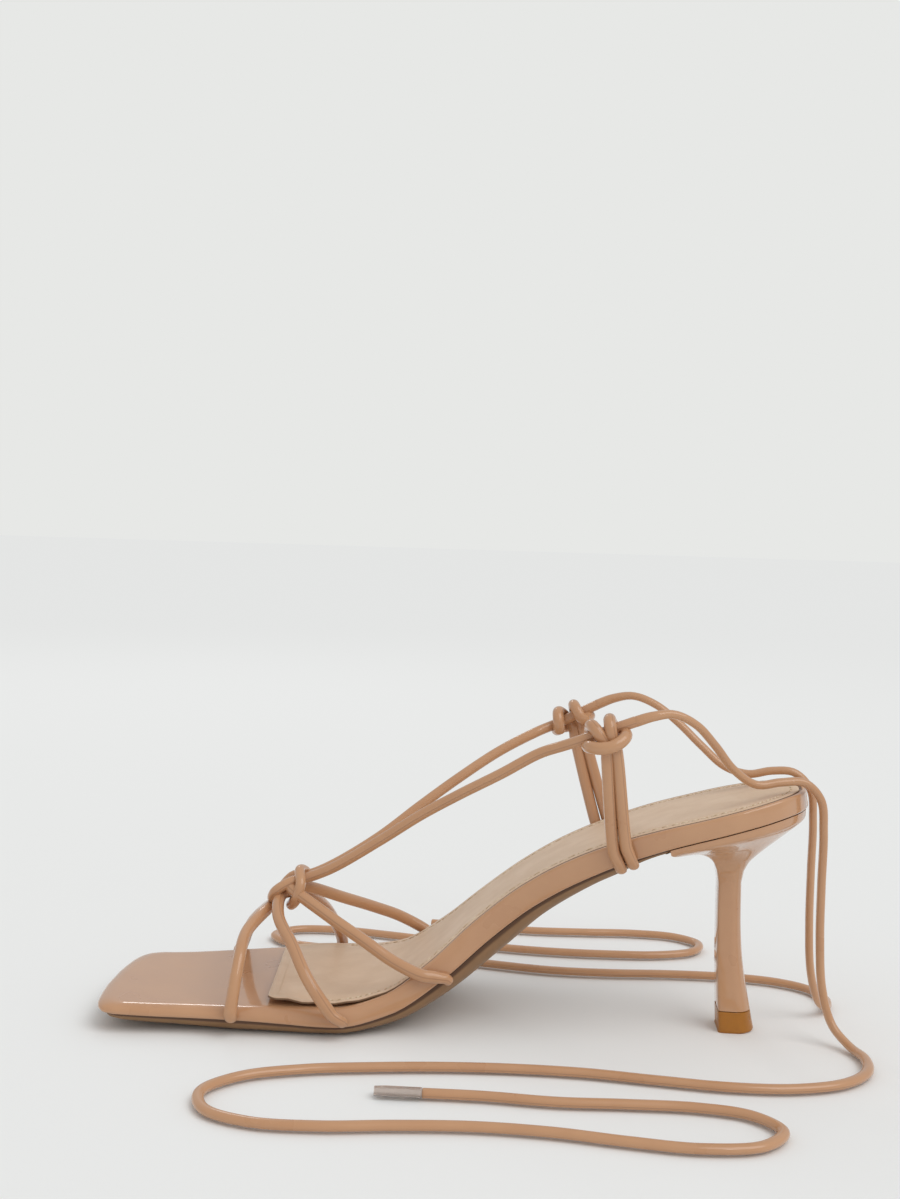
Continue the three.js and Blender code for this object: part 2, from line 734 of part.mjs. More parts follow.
// Points at even steps along a smooth curve.
function evenPoints(points, step) {
  const curve = new THREE.CatmullRomCurve3(points, false, "centripetal");
  return curve.getSpacedPoints(Math.max(Math.round(curve.getLength() / step), 4));
}

function roundCord(points, diameter, step) {
  const even = evenPoints(points, step);
  const ways = thinWays(even, anyAcross(even));
  return loft(cordRings(even, ways, steady([diameter / 2, diameter / 2]), STRAP_SIDES));
}

function anyAcross(points) {
  const along = points[1].clone().sub(points[0]).normalize();
  const helper = Math.abs(along.z) > 0.9 ? new THREE.Vector3(1, 0, 0) : new THREE.Vector3(0, 0, 1);
  return helper.addScaledVector(along, -helper.dot(along)).normalize();
}

// A point of the upper from a table row: a share of the length, of a half spread and of the
// instep height above the forefoot.
function upperPoint(row, spread) {
  return new THREE.Vector3(row.at * FOOTBED_LENGTH, row.out * spread, row.up * INSTEP_HEIGHT);
}

// The points of a strap's foot at one side, from its end under the edge to the top of the side.
function footPoints(x, side, lean) {
  const near = 0.5;
  return STRAP_FOOT.map((row) => {
    const along = x + lean * row.down;
    const a = edgePoint(along - near, side);
    const b = edgePoint(along + near, side);
    const outward = new THREE.Vector2(a.y - b.y, b.x - a.x).normalize().multiplyScalar(side);
    const spot = edgePoint(along, side).addScaledVector(outward, row.out * STRAP_RADIUS);
    const depth = row.down * sideHeight(along) + row.below * STRAP_FOOT_THICKNESS;
    return place(spot.x, spot.y, depth);
  });
}

// A strap is pressed flat up to the first distance from its end and round from the second on.
const PRESSED_LENGTH = 3.2;
const ROUND_LENGTH = 8;

// Half the width and thickness of a strap at a distance from its pressed foot.
function strapHalves(distance) {
  const pressed = 1 - smoothstep(distance, PRESSED_LENGTH, ROUND_LENGTH);
  const halfWide = lerp(STRAP_DIAMETER, STRAP_FOOT_WIDTH, pressed) / 2;
  const halfThin = lerp(STRAP_DIAMETER, STRAP_FOOT_THICKNESS, pressed) / 2;
  return [halfWide, halfThin];
}

const STRAP_STEP = 3.6;
const FOOT_REACH = 9;
const FOOT_STEPS = 6;

// A strap along its points, with short steps at each end that is a pressed foot.
function strap(points, footAtEnd) {
  const curve = new THREE.CatmullRomCurve3(points, false, "centripetal");
  const length = curve.getLength();
  const middle = length - FOOT_REACH * (footAtEnd ? 2 : 1);
  const middleSteps = Math.round(middle / STRAP_STEP);
  const distances = [];
  for (let k = 0; k < FOOT_STEPS; k += 1) distances.push((k / FOOT_STEPS) * FOOT_REACH);
  for (let k = 0; k <= middleSteps; k += 1) {
    distances.push(FOOT_REACH + (k / middleSteps) * middle);
  }
  if (footAtEnd) {
    for (let k = FOOT_STEPS - 1; k >= 0; k -= 1) distances.push(length - (k / FOOT_STEPS) * FOOT_REACH);
  }
  const even = distances.map((distance) => curve.getPointAt(Math.min(distance / length, 1)));
  const fromFoot = (k) => (footAtEnd ? Math.min(distances[k], length - distances[k]) : distances[k]);
  const level = new THREE.Vector3(0, 0, 1);
  const ways = thinWays(even, level, footAtEnd ? level : undefined);
  return loft(cordRings(even, ways, (k) => strapHalves(fromFoot(k)), STRAP_SIDES));
}

function vampStrap({ medial, arch, lateral }) {
  const foot = (end, side) =>
    footPoints(end.at * FOOTBED_LENGTH, side, end.lean * STRAP_DIAMETER);
  const points = [
    ...foot(medial, 1),
    ...arch.map((row) => upperPoint(row, BALL_WIDTH / 2)),
    ...foot(lateral, -1).reverse(),
  ];
  return strap(points, true);
}

// The place of an ankle loop's hitch, with its lace's way through it.
function hitchFrame(loop) {
  const center = new THREE.Vector3(
    loop.knot * FOOTBED_LENGTH,
    loop.side * LOOP_SPREAD,
    loop.up * INSTEP_HEIGHT,
  );
  const along = new THREE.Vector3(-1, -0.05 * loop.side, loop.lean).normalize();
  const outward = new THREE.Vector3(0, loop.side, 0);
  outward.addScaledVector(along, -outward.dot(along)).normalize();
  const up = along.clone().cross(outward).multiplyScalar(-loop.side);
  const at = (row) =>
    center
      .clone()
      .addScaledVector(along, row.along * STRAP_DIAMETER)
      .addScaledVector(up, row.up * STRAP_DIAMETER)
      .addScaledVector(outward, row.outward * STRAP_DIAMETER);
  return { center, along, at };
}

// An ankle loop: two strands from the seat's edge, each hitched over the lace, and the bar.
function ankleLoop(loop) {
  const frame = hitchFrame(loop);
  const strands = HITCH_STRANDS.map((rows, k) => {
    const foot = loop.foot * FOOTBED_LENGTH + (0.5 - k) * STRAP_FOOT_WIDTH * STRAND_SPACING;
    return strap([...footPoints(foot, loop.side, 0), ...rows.map(frame.at)], false);
  });
  return [...strands, roundCord(HITCH_BAR.map(frame.at), STRAP_DIAMETER, STRAP_STEP)];
}

function laceSection() {
  const shape = new THREE.Shape();
  shape.absellipse(0, 0, LACE_WIDTH / 2, LACE_THICKNESS / 2, 0, 2 * Math.PI);
  return shape;
}

function extrudedLace(points, step) {
  const path = new THREE.CatmullRomCurve3(points, false, "centripetal");
  const steps = Math.round(path.getLength() / step);
  const curveSegments = TIE_SIDES / 2;
  return new THREE.ExtrudeGeometry(laceSection(), { steps, curveSegments, extrudePath: path });
}

// The lace from the medial ankle loop down to the front knot, round it and up to the lateral one.
function laceThroughUpper() {
  const [medialLoop, lateralLoop] = ANKLE_LOOPS.map(hitchFrame);
  const stub = 2.35 * STRAP_DIAMETER;
  const before = 1.6 * STRAP_DIAMETER;
  const through = (frame, distance) => frame.center.clone().addScaledVector(frame.along, distance);
  const points = [
    through(medialLoop, stub),
    through(medialLoop, 0),
    through(medialLoop, -before),
    ...LACE_MEDIAL.map((row) => upperPoint(row, LOOP_SPREAD)).reverse(),
    ...BIGHT.map((row) => upperPoint(row, LOOP_SPREAD)),
    ...LACE_LATERAL.map((row) => upperPoint(row, LOOP_SPREAD)),
    through(lateralLoop, -before),
    through(lateralLoop, 0),
    through(lateralLoop, stub),
  ];
  return roundCord(points, LACE_WIDTH, 1.2 * LACE_WIDTH);
}

function keeper() {
  const points = KEEPER.map((row) => upperPoint(row, LOOP_SPREAD));
  const curve = new THREE.CatmullRomCurve3(points, true, "centripetal");
  const steps = 16;
  const even = curve.getSpacedPoints(steps).slice(0, steps);
  const middle = even.reduce((sum, point) => sum.add(point), new THREE.Vector3());
  middle.divideScalar(steps);
  const radius = LACE_WIDTH / 2;
  const rings = even.map((point, k) => {
    const along = even[(k + 1) % steps].clone().sub(even[(k + steps - 1) % steps]).normalize();
    const outward = point.clone().sub(middle);
    outward.addScaledVector(along, -outward.dot(along)).normalize();
    const across = along.clone().cross(outward);
    const ring = [];
    for (let i = 0; i < STRAP_SIDES; i += 1) {
      const turn = (i / STRAP_SIDES) * 2 * Math.PI;
      const spot = point.clone().addScaledVector(outward, radius * Math.cos(turn));
      ring.push(spot.addScaledVector(across, radius * Math.sin(turn)));
    }
    return ring;
  });
  return closedLoft(rings);
}

function buildUpper() {
  return joined([
    ...VAMP_STRAPS.map(vampStrap),
    laceThroughUpper(),
    keeper(),
    ...ANKLE_LOOPS.flatMap(ankleLoop),
  ]);
}

const vectors = (rows) => rows.map((row) => new THREE.Vector3(...row));

// The clear sleeve pressed on the medial tie's tip: it starts a gap beyond the lace's end.
function buildTipSleeve() {
  const points = vectors(TIE_MEDIAL_POINTS);
  const end = points[points.length - 1];
  const along = end.clone().sub(points[points.length - 2]).normalize();
  const start = end.clone().addScaledVector(along, GLUE_GAP);
  const finish = start.clone().addScaledVector(along, TIP_SLEEVE_LENGTH);
  const middle = start.clone().lerp(finish, 0.5);
  const halves = (k) => {
    const wide = k === 3 ? 0.82 : 1;
    return [(wide * TIP_SLEEVE_DIAMETER) / 2, (wide * LACE_THICKNESS) / 2];
  };
  const rounded = finish.clone().lerp(start, 0.08);
  const spots = [start, middle, rounded, finish];
  return loft(cordRings(spots, thinWays(spots, anyAcross(spots)), halves, SLEEVE_SIDES));
}

const PATENT_NUDE = { color: 0xb98b68, roughness: 0.16, metalness: 0 };
const SOCK_BEIGE = { color: 0xc9b193, roughness: 0.6, metalness: 0 };
const SOLE_TAUPE = { color: 0x8f7052, roughness: 0.5, metalness: 0 };
const LIFT_AMBER = { color: 0x8e5d22, roughness: 0.3, metalness: 0 };
const SLEEVE_CLEAR = { color: 0xd9cfc8, roughness: 0.2, metalness: 0 };

function node(name, geometry, finish) {
  const mesh = new THREE.Mesh(geometry, new THREE.MeshStandardMaterial(finish));
  mesh.name = name;
  return mesh;
}

const shoe = new THREE.Group();
shoe.position.x = -HEEL_TIP_FORWARD;
shoe.add(
  node("outsole", buildOutsole(), SOLE_TAUPE),
  node("footbed", buildFootbed(), PATENT_NUDE),
  node("sock_lining", buildSockLining(), SOCK_BEIGE),
  node("heel", buildHeel(), PATENT_NUDE),
  node("top_lift", buildTopLift(), LIFT_AMBER),
  node("upper_straps", buildUpper(), PATENT_NUDE),
);

const sandal = new THREE.Group();
sandal.add(
  shoe,
  node("tie_medial", extrudedLace(vectors(TIE_MEDIAL_POINTS), TIE_STEP), PATENT_NUDE),
  node("tie_lateral", extrudedLace(vectors(TIE_LATERAL_POINTS), TIE_STEP), PATENT_NUDE),
  node("tie_tip_sleeve", buildTipSleeve(), SLEEVE_CLEAR),
);

export default sandal;
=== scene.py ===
"""Lace-up strappy sandal for the right foot, with a square toe and a slim covered heel.

The tables hold the shoe's own sizes in millimetres, measured from the back of the seat. The
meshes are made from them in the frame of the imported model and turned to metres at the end.
"""

import json
import logging
import math
from collections.abc import Callable, Sequence
from dataclasses import dataclass
from enum import Enum

import bmesh
import bpy
from bmesh.types import BMEdge, BMesh, BMLayerItem
from bpy.types import Light, Material, NodeSocket, Object, World
from mathutils import Matrix, Vector

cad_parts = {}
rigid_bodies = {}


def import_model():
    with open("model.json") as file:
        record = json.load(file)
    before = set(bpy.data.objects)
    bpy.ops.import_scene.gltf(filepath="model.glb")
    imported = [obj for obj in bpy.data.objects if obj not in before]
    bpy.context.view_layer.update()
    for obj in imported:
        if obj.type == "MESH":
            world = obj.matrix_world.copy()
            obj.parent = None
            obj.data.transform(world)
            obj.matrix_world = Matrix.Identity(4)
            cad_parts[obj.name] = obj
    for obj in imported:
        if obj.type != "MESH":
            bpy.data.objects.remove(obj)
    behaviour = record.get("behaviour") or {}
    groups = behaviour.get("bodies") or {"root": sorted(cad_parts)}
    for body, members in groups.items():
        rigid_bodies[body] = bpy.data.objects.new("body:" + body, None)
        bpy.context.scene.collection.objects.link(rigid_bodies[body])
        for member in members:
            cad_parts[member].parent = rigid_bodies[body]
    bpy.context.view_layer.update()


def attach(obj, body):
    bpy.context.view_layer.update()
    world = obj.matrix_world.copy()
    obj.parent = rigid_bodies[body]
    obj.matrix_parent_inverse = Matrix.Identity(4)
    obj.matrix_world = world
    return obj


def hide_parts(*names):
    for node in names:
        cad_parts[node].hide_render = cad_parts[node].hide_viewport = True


log = logging.getLogger("sandal")

MM = 0.001
QUARTER_TURN = math.pi / 2
UP = Vector((0, 0, 1))
BODY = "root"
# Mesh attribute for edges darkened in the shader: painted shade along the outsole's seam, edge stain
# with painted shade on the lining's cut edge.
EDGE_STAIN_AND_SHADE = "edge_stain_and_shade"
TOE_REACH = 40.0
HEEL_TIP_FORWARD = 21.5
GLUE_GAP = 0.3
STRAP_DIAMETER = 4.1
STRAP_RADIUS = STRAP_DIAMETER / 2
LACE_WIDTH = 3.6
LACE_THICKNESS = 2.8
INSTEP_HEIGHT = 42.0
LOOP_SPREAD = 26.4

Spot = tuple[float, ...]
Ways = tuple[Vector, Vector]
Depth = Callable[[float], float]


class Side(Enum):
    """The two sides of the foot, with their sign along Y."""

    MEDIAL = 1
    LATERAL = -1


class Slot(Enum):
    """The record's material slots."""

    PATENT = "patent"
    SOCK = "sock"
    OUTSOLE = "outsole"
    TOP_LIFT = "top_lift"
    SLEEVE = "sleeve"


@dataclass(frozen=True)
class Table:
    """Rows of numbers with named columns, the first of which places the row."""

    columns: tuple[str, ...]
    rows: tuple[Spot, ...]

    def column(self, name: str) -> list[float]:
        """One column from the first row to the last."""
        return [row[self.columns.index(name)] for row in self.rows]

    def value(self, name: str, at: float) -> float:
        """A column's value between its rows, by monotone cubic steps.

        Args:
            name: The column that is read.
            at: Where, in the units of the first column.

        Returns:
            The value there; beyond the ends it stays as in the last row.
        """
        places = self.column(self.columns[0])
        values = self.column(name)
        last = len(places) - 1
        if at <= places[0]:
            return values[0]
        if at >= places[last]:
            return values[last]
        slopes = [(values[k + 1] - values[k]) / (places[k + 1] - places[k]) for k in range(last)]

        def tangent(k: int) -> float:
            if k == 0:
                return slopes[0]
            if k == last:
                return slopes[-1]
            before, after = slopes[k - 1], slopes[k]
            return 0.0 if before * after <= 0 else 2 * before * after / (before + after)

        i = next(k for k in range(last, -1, -1) if places[k] <= at)
        span = places[i + 1] - places[i]
        t = (at - places[i]) / span
        rise = values[i + 1] - values[i]
        start = span * tangent(i) * t * (1 - t) ** 2
        end = span * tangent(i + 1) * t * t * (1 - t)
        return values[i] + rise * t * t * (3 - 2 * t) + start - end


def lerp(a: float, b: float, share: float) -> float:
    """The value a share of the way from a to b."""
    return a + (b - a) * share


def smooth_step(x: float, low: float, high: float) -> float:
    """Zero up to low and one from high on, with a soft change between them."""
    t = min(max((x - low) / (high - low), 0.0), 1.0)
    return t * t * (3 - 2 * t)


def smooth_curve(points: Sequence[Vector], step: float, closed: bool = False) -> list[Vector]:
    """Evenly spaced points along a centripetal curve through the given ones.

    Args:
        points: The points that the curve passes.
        step: The wanted spacing.
        closed: Whether the curve returns to its first point.

    Returns:
        The points, without a repeated first one where the curve is closed.
    """
    fine: list[Vector] = []
    count = len(points)
    parts = 24
    for k in range(count if closed else count - 1):
        p1, p2 = points[k], points[(k + 1) % count]
        p0 = points[(k - 1) % count] if closed or k > 0 else p1 * 2 - p2
        p3 = points[(k + 2) % count] if closed or k + 2 < count else p2 * 2 - p1
        d0, d1, d2 = (math.sqrt((b - a).length) for a, b in ((p0, p1), (p1, p2), (p2, p3)))
        t1 = ((p1 - p0) / d0 - (p2 - p0) / (d0 + d1) + (p2 - p1) / d1) * d1
        t2 = ((p2 - p1) / d1 - (p3 - p1) / (d1 + d2) + (p3 - p2) / d2) * d1
        square, cube = p2 * 3 - p1 * 3 - t1 * 2 - t2, p1 * 2 - p2 * 2 + t1 + t2
        fine.extend(p1 + t1 * t + square * t**2 + cube * t**3 for t in (i / parts for i in range(parts)))
    fine.append(points[0].copy() if closed else points[-1].copy())
    lengths = [0.0]
    for a, b in zip(fine, fine[1:]):
        lengths.append(lengths[-1] + (b - a).length)
    total = lengths[-1]
    steps = max(round(total / step), 4)
    even, i = [], 0
    for k in range(steps if closed else steps + 1):
        wanted = total * k / steps
        while i + 2 < len(lengths) and lengths[i + 1] < wanted:
            i += 1
        share = (wanted - lengths[i]) / max(lengths[i + 1] - lengths[i], 1e-9)
        even.append(fine[i].lerp(fine[i + 1], share))
    return even


def curve_length(points: Sequence[Vector]) -> float:
    """Length of the broken line through the points."""
    return sum((b - a).length for a, b in zip(points, points[1:]))


def linear(hex_colour: str) -> tuple[float, float, float, float]:
    """A colour for the shader from its sRGB hex value."""
    parts = [int(hex_colour[k : k + 2], 16) / 255 for k in (1, 3, 5)]
    turned = [p / 12.92 if p <= 0.04045 else ((p + 0.055) / 1.055) ** 2.4 for p in parts]
    return (*turned, 1.0)


def per_metre(size_mm: float) -> float:
    """Noise scale on object coordinates whose features are about this many millimetres."""
    return 1 / (size_mm * MM)


class Nodes:
    """The node tree of a material or a world in work."""

    def __init__(self, owner: Material | World) -> None:
        """Empties the owner's node tree."""
        owner.use_nodes = True
        self.owner = owner
        self.tree = owner.node_tree
        self.tree.nodes.clear()

    def add(
        self, kind: str, out: str | int, inputs: dict | None = None, **settings: object
    ) -> NodeSocket | None:
        """Adds a node with its settings, values and links.

        Args:
            kind: The node's type, without the prefix that all have.
            out: The name or place of the output that is wanted.
            inputs: Values or output sockets for its inputs, by their names or places.
            **settings: The node's own properties.

        Returns:
            The wanted output, or nothing where the node has none.
        """
        node = self.tree.nodes.new(f"ShaderNode{kind}")
        for key, value in settings.items():
            setattr(node, key, value)
        for key, value in (inputs or {}).items():
            if isinstance(value, NodeSocket):
                self.tree.links.new(value, node.inputs[key])
            else:
                node.inputs[key].default_value = value
        return node.outputs[out] if node.outputs else None


class Recipe(Nodes):
    """A material in work, with patterns that lie on object coordinates."""

    def __init__(self, name: str) -> None:
        """Starts an empty material."""
        super().__init__(bpy.data.materials.new(name))
        self.place = self.add("TexCoord", "Object")

    def clouded(
        self, size_mm: float, ragged: float, shades: tuple[str, str], gloss: tuple[float, float]
    ) -> tuple[NodeSocket, NodeSocket]:
        """Soft clouds in the colour and in the gloss.

        Args:
            size_mm: How large the clouds are.
            ragged: How broken their edges are.
            shades: The colours between them and in them.
            gloss: The roughness between them and in them.

        Returns:
            The colour and the roughness.
        """
        noise = {"Scale": per_metre(size_mm), "Detail": 3.0, "Roughness": ragged}
        cloud = self.add("TexNoise", "Fac", {"Vector": self.place, **noise})
        ends = {6: linear(shades[0]), 7: linear(shades[1])}
        colour = self.add("Mix", 2, {0: cloud, **ends}, data_type="RGBA")
        span = {"From Min": 0.3, "From Max": 0.7, "To Min": gloss[0], "To Max": gloss[1]}
        return colour, self.add("MapRange", "Result", {"Value": cloud, **span})

    def raised(
        self,
        size_mm: float,
        height_mm: float,
        detail: float = 2.0,
        ragged: float = 0.5,
        under: NodeSocket | None = None,
    ) -> NodeSocket:
        """The normals of an even relief.

        Args:
            size_mm: How large its features are.
            height_mm: How high they are.
            detail: How many finer layers it has.
            ragged: How strong those are.
            under: The normals of a relief below it, if there is one.

        Returns:
            The normals.
        """
        noise = {"Scale": per_metre(size_mm), "Detail": detail, "Roughness": ragged}
        height = self.add("TexNoise", "Fac", {"Vector": self.place, **noise})
        below = {} if under is None else {"Normal": under}
        bump = {"Strength": 1.0, "Distance": height_mm * MM, "Height": height}
        return self.add("Bump", "Normal", {**bump, **below})

    def edge_stained_and_shaded(self, colour: NodeSocket, tint: str) -> NodeSocket:
        """The colour, darkened where the piece's mesh marks a cut or glued edge: painted shade along the
        outsole's seam, edge stain with painted shade on the lining's cut edge.
        """
        edge = self.add("Attribute", "Fac", attribute_name=EDGE_STAIN_AND_SHADE)
        return self.add("Mix", 2, {0: edge, 6: colour, 7: linear(tint)}, data_type="RGBA")

    def finished(self, inputs: dict) -> Material:
        """The material, once its shader is made from these inputs."""
        self.add("OutputMaterial", 0, {"Surface": self.add("BsdfPrincipled", "BSDF", inputs)})
        return self.owner


class Cut(Enum):
    """How the patent leather is used: wrapped over a board or block, or rolled to a cord."""

    WRAPPED = "wrapped"
    ROLLED = "rolled"


@dataclass(frozen=True)
class PatentLeather:
    """Nude patent leather: a lacquered skin whose thick clear coat mirrors its surroundings.

    The lacquer is level but for broad soft waves from the leather below and a faint skin like
    that of an orange, which is drawn coarser than it is so that it shows. A rolled cord also has
    a glued lap along its inner side.
    """

    cut: Cut = Cut.WRAPPED
    shades: tuple[str, str] = ("#BB8A64", "#CB9C74")
    cloud_mm: float = 16.0
    wave_mm: float = 11.0
    wave_height: float = 0.05
    skin_mm: float = 2.4
    skin_height: float = 0.005
    roughness: tuple[float, float] = (0.26, 0.36)
    coat: float = 1.0
    coat_roughness: float = 0.035
    lap: str = "#B08360"
    lap_depth: float = 0.05
    lap_reach: tuple[float, float] = (0.008, 0.024)

    def make(self) -> Material:
        """The material for this cut."""
        recipe = Recipe(f"patent_leather_{self.cut.value}")
        colour, gloss = recipe.clouded(self.cloud_mm, 0.55, self.shades, self.roughness)
        waves = recipe.raised(self.wave_mm, self.wave_height, 1.0, 0.4)
        normal = recipe.raised(self.skin_mm, self.skin_height, under=waves)
        if self.cut is Cut.ROLLED:
            colour, normal = self.add_lap(recipe, colour, normal)
        lacquer = {
            "Coat Weight": self.coat,
            "Coat Roughness": self.coat_roughness,
            "Coat IOR": 1.5,
            "Coat Normal": normal,
        }
        leather = {"Base Color": colour, "Roughness": gloss, "IOR": 1.4, "Normal": normal}
        return recipe.finished({**leather, **lacquer})

    def add_lap(
        self, recipe: Recipe, colour: NodeSocket, normal: NodeSocket
    ) -> tuple[NodeSocket, NodeSocket]:
        """The glued lap of a rolled cord, a thin groove along the middle of its UV map.

        Args:
            recipe: The material in work.
            colour: The colour without the lap.
            normal: The normals without the lap.

        Returns:
            The colour and the normals with it.
        """
        around = recipe.add("SeparateXYZ", "Y", {0: recipe.add("TexCoord", "UV")})
        off = recipe.add("Math", 0, {0: around, 1: 0.5}, operation="SUBTRACT")
        distance = recipe.add("Math", 0, {0: off}, operation="ABSOLUTE")
        full, gone = self.lap_reach
        span = {"From Min": full, "From Max": gone, "To Min": 1.0, "To Max": 0.0}
        line = recipe.add("MapRange", "Result", {"Value": distance, **span})
        tinted = recipe.add("Mix", 2, {0: line, 6: colour, 7: linear(self.lap)}, data_type="RGBA")
        groove = {"Strength": 0.5, "Distance": self.lap_depth * MM, "Height": line}
        return tinted, recipe.add("Bump", "Normal", {**groove, "Normal": normal}, invert=True)


@dataclass(frozen=True)
class LiningLeather:
    """Matt sheepskin-like lining: open, softly creased and slightly clouded, with a fine grain.

    Its cut edge is dark, partly from an edge stain and partly as painted shade under the lifted edge,
    which draws a thin line round it.
    """

    light: str = "#E4C9AC"
    deep: str = "#D2B597"
    # Colour of the cut edge's lower rim: partly edge stain, partly painted shade.
    cut: str = "#7A5C42"
    cloud_mm: float = 26.0
    streak_mm: float = 9.0
    stretch: tuple[float, float, float] = (0.75, 1.0, 1.0)
    grain_mm: float = 0.9
    grain_height: float = 0.03
    crease_height: float = 0.1
    roughness: tuple[float, float] = (0.42, 0.6)

    def make(self) -> Material:
        """The material of the sock lining."""
        recipe = Recipe("lining_leather")
        noise = {"Scale": per_metre(self.cloud_mm), "Detail": 4.0, "Roughness": 0.6}
        cloud = recipe.add("TexNoise", "Fac", {"Vector": recipe.place, **noise})
        along = recipe.add("Mapping", "Vector", {"Vector": recipe.place, "Scale": self.stretch})
        noise = {"Scale": per_metre(self.streak_mm), "Detail": 3.0, "Distortion": 0.6}
        streak = recipe.add("TexNoise", "Fac", {"Vector": along, **noise})
        shade = recipe.add("Math", 0, {0: cloud, 1: streak}, operation="MULTIPLY")
        span = {"From Min": 0.05, "From Max": 0.48}
        spread = recipe.add("MapRange", "Result", {"Value": shade, **span})
        ends = {6: linear(self.deep), 7: linear(self.light)}
        colour = recipe.add("Mix", 2, {0: spread, **ends}, data_type="RGBA")
        span = {"To Min": self.roughness[1], "To Max": self.roughness[0]}
        gloss = recipe.add("MapRange", "Result", {"Value": spread, **span})
        bump = {"Strength": 1.0, "Distance": self.crease_height * MM, "Height": streak}
        creases = recipe.add("Bump", "Normal", bump)
        pattern = {"Vector": recipe.place, "Scale": per_metre(self.grain_mm)}
        cells = recipe.add("TexVoronoi", "Distance", pattern, feature="SMOOTH_F1")
        bump = {"Strength": 1.0, "Distance": self.grain_height * MM, "Height": cells}
        normal = recipe.add("Bump", "Normal", {**bump, "Normal": creases})
        cloth = {"Roughness": gloss, "IOR": 1.45, "Sheen Weight": 0.12, "Normal": normal}
        return recipe.finished({"Base Color": recipe.edge_stained_and_shaded(colour, self.cut), **cloth})


@dataclass(frozen=True)
class SewingThread:
    """Twisted polyester thread: matt, a shade lighter than the lining."""

    light: str = "#E3D3BA"
    deep: str = "#C2A988"
    ply_mm: float = 0.5
    twist_height: float = 0.05

    def make(self) -> Material:
        """The material of the stitches."""
        recipe = Recipe("sewing_thread")
        bands = {"Scale": per_metre(self.ply_mm) / 6, "Distortion": 0.5}
        wave = {"Vector": recipe.place, **bands}
        ply = recipe.add("TexWave", "Fac", wave, bands_direction="DIAGONAL")
        ends = {6: linear(self.deep), 7: linear(self.light)}
        colour = recipe.add("Mix", 2, {0: ply, **ends}, data_type="RGBA")
        bump = {"Strength": 0.5, "Distance": self.twist_height * MM, "Height": ply}
        twist = recipe.add("Bump", "Normal", bump)
        return recipe.finished({"Base Color": colour, "Roughness": 0.7, "Normal": twist})


@dataclass(frozen=True)
class MouldedPlastic:
    """Injection-moulded plastic, thermoplastic rubber or polyurethane, with an eroded skin.

    Where it is glued on, a dark line along the seam is painted shade for the narrow gap under the
    footbed.
    """

    name: str
    shades: tuple[str, str]
    # Colour of the seam line: painted shade in the gap under the footbed, not a colour of the plastic.
    seam: str = "#5A3D28"
    cloud_mm: float = 8.0
    grain_mm: float = 0.6
    grain_height: float = 0.01
    roughness: tuple[float, float] = (0.35, 0.5)
    translucency: float = 0.0

    def make(self) -> Material:
        """The material for this moulding."""
        recipe = Recipe(self.name)
        colour, gloss = recipe.clouded(self.cloud_mm, 0.6, self.shades, self.roughness)
        inside = {
            "Subsurface Weight": self.translucency,
            "Subsurface Radius": (0.6, 0.35, 0.15),
            "Subsurface Scale": 2 * MM,
        }
        skin = {"Roughness": gloss, "Normal": recipe.raised(self.grain_mm, self.grain_height)}
        return recipe.finished({"Base Color": recipe.edge_stained_and_shaded(colour, self.seam), **skin, **inside})


@dataclass(frozen=True)
class ClearTubing:
    """Soft clear vinyl tube: see-through, slightly milky, with glints along its edges."""

    tint: str = "#EDE4DE"
    scratch_mm: float = 2.0
    scratch_height: float = 0.08
    roughness: tuple[float, float] = (0.04, 0.22)

    def make(self) -> Material:
        """The material of the tip sleeve."""
        recipe = Recipe("clear_vinyl")
        noise = {"Scale": per_metre(self.scratch_mm), "Detail": 3.0}
        haze = recipe.add("TexNoise", "Fac", {"Vector": recipe.place, **noise})
        span = {"To Min": self.roughness[0], "To Max": self.roughness[1]}
        gloss = recipe.add("MapRange", "Result", {"Value": haze, **span})
        bump = {"Strength": 1.0, "Distance": self.scratch_height * MM, "Height": haze}
        clear = {"IOR": 1.45, "Transmission Weight": 0.9, "Base Color": linear(self.tint)}
        normal = recipe.add("Bump", "Normal", bump)
        return recipe.finished({**clear, "Roughness": gloss, "Normal": normal})


def bridge_rings(
    bm: BMesh, rings: Sequence[Sequence[Vector]], closed: bool = False
) -> list[list[BMEdge]]:
    """Adds rings of equally many points, with faces from each to the next.

    Args:
        bm: The mesh in work.
        rings: The rings in order.
        closed: Whether the last ring is followed by the first.

    Returns:
        The edges of each ring.
    """
    loops = []
    for points in rings:
        verts = [bm.verts.new(point) for point in points]
        loops.append([bm.edges.new(pair) for pair in zip(verts, verts[1:] + verts[:1])])
    for first, second in zip(loops, [*loops[1:], loops[0]] if closed else loops[1:]):
        bmesh.ops.bridge_loops(bm, edges=first + second)
    return loops


def cap_strip(bm: BMesh, ring: list[BMEdge], cuts: int) -> None:
    """Closes a ring by strips from its first half across to its second half.

    Args:
        bm: The mesh in work.
        ring: The ring's edges; its halves mirror each other.
        cuts: How often each strip is cut across, for shapes in the middle.
    """
    half = len(ring) // 2
    made = bmesh.ops.bridge_loops(bm, edges=ring[: half - 1] + ring[half : 2 * half - 1])
    if cuts:
        inner = [edge for edge in made["edges"] if edge.calc_length() > 0.01]
        bmesh.ops.subdivide_edges(bm, edges=inner, cuts=cuts, use_grid_fill=True)


def loft(rings: Sequence[Sequence[Vector]], bottom_cuts: int = 0, top_cuts: int = 0) -> BMesh:
    """A closed body through rings of equally many points, capped by strips.

    Args:
        rings: The rings, from the underside to the top.
        bottom_cuts: Cuts across the strips of the first cap.
        top_cuts: Cuts across the strips of the last cap.

    Returns:
        The body, in millimetres.
    """
    bm = bmesh.new()
    loops = bridge_rings(bm, rings)
    cap_strip(bm, loops[0], bottom_cuts)
    cap_strip(bm, loops[-1], top_cuts)
    bmesh.ops.remove_doubles(bm, verts=bm.verts, dist=0.002)
    return bm


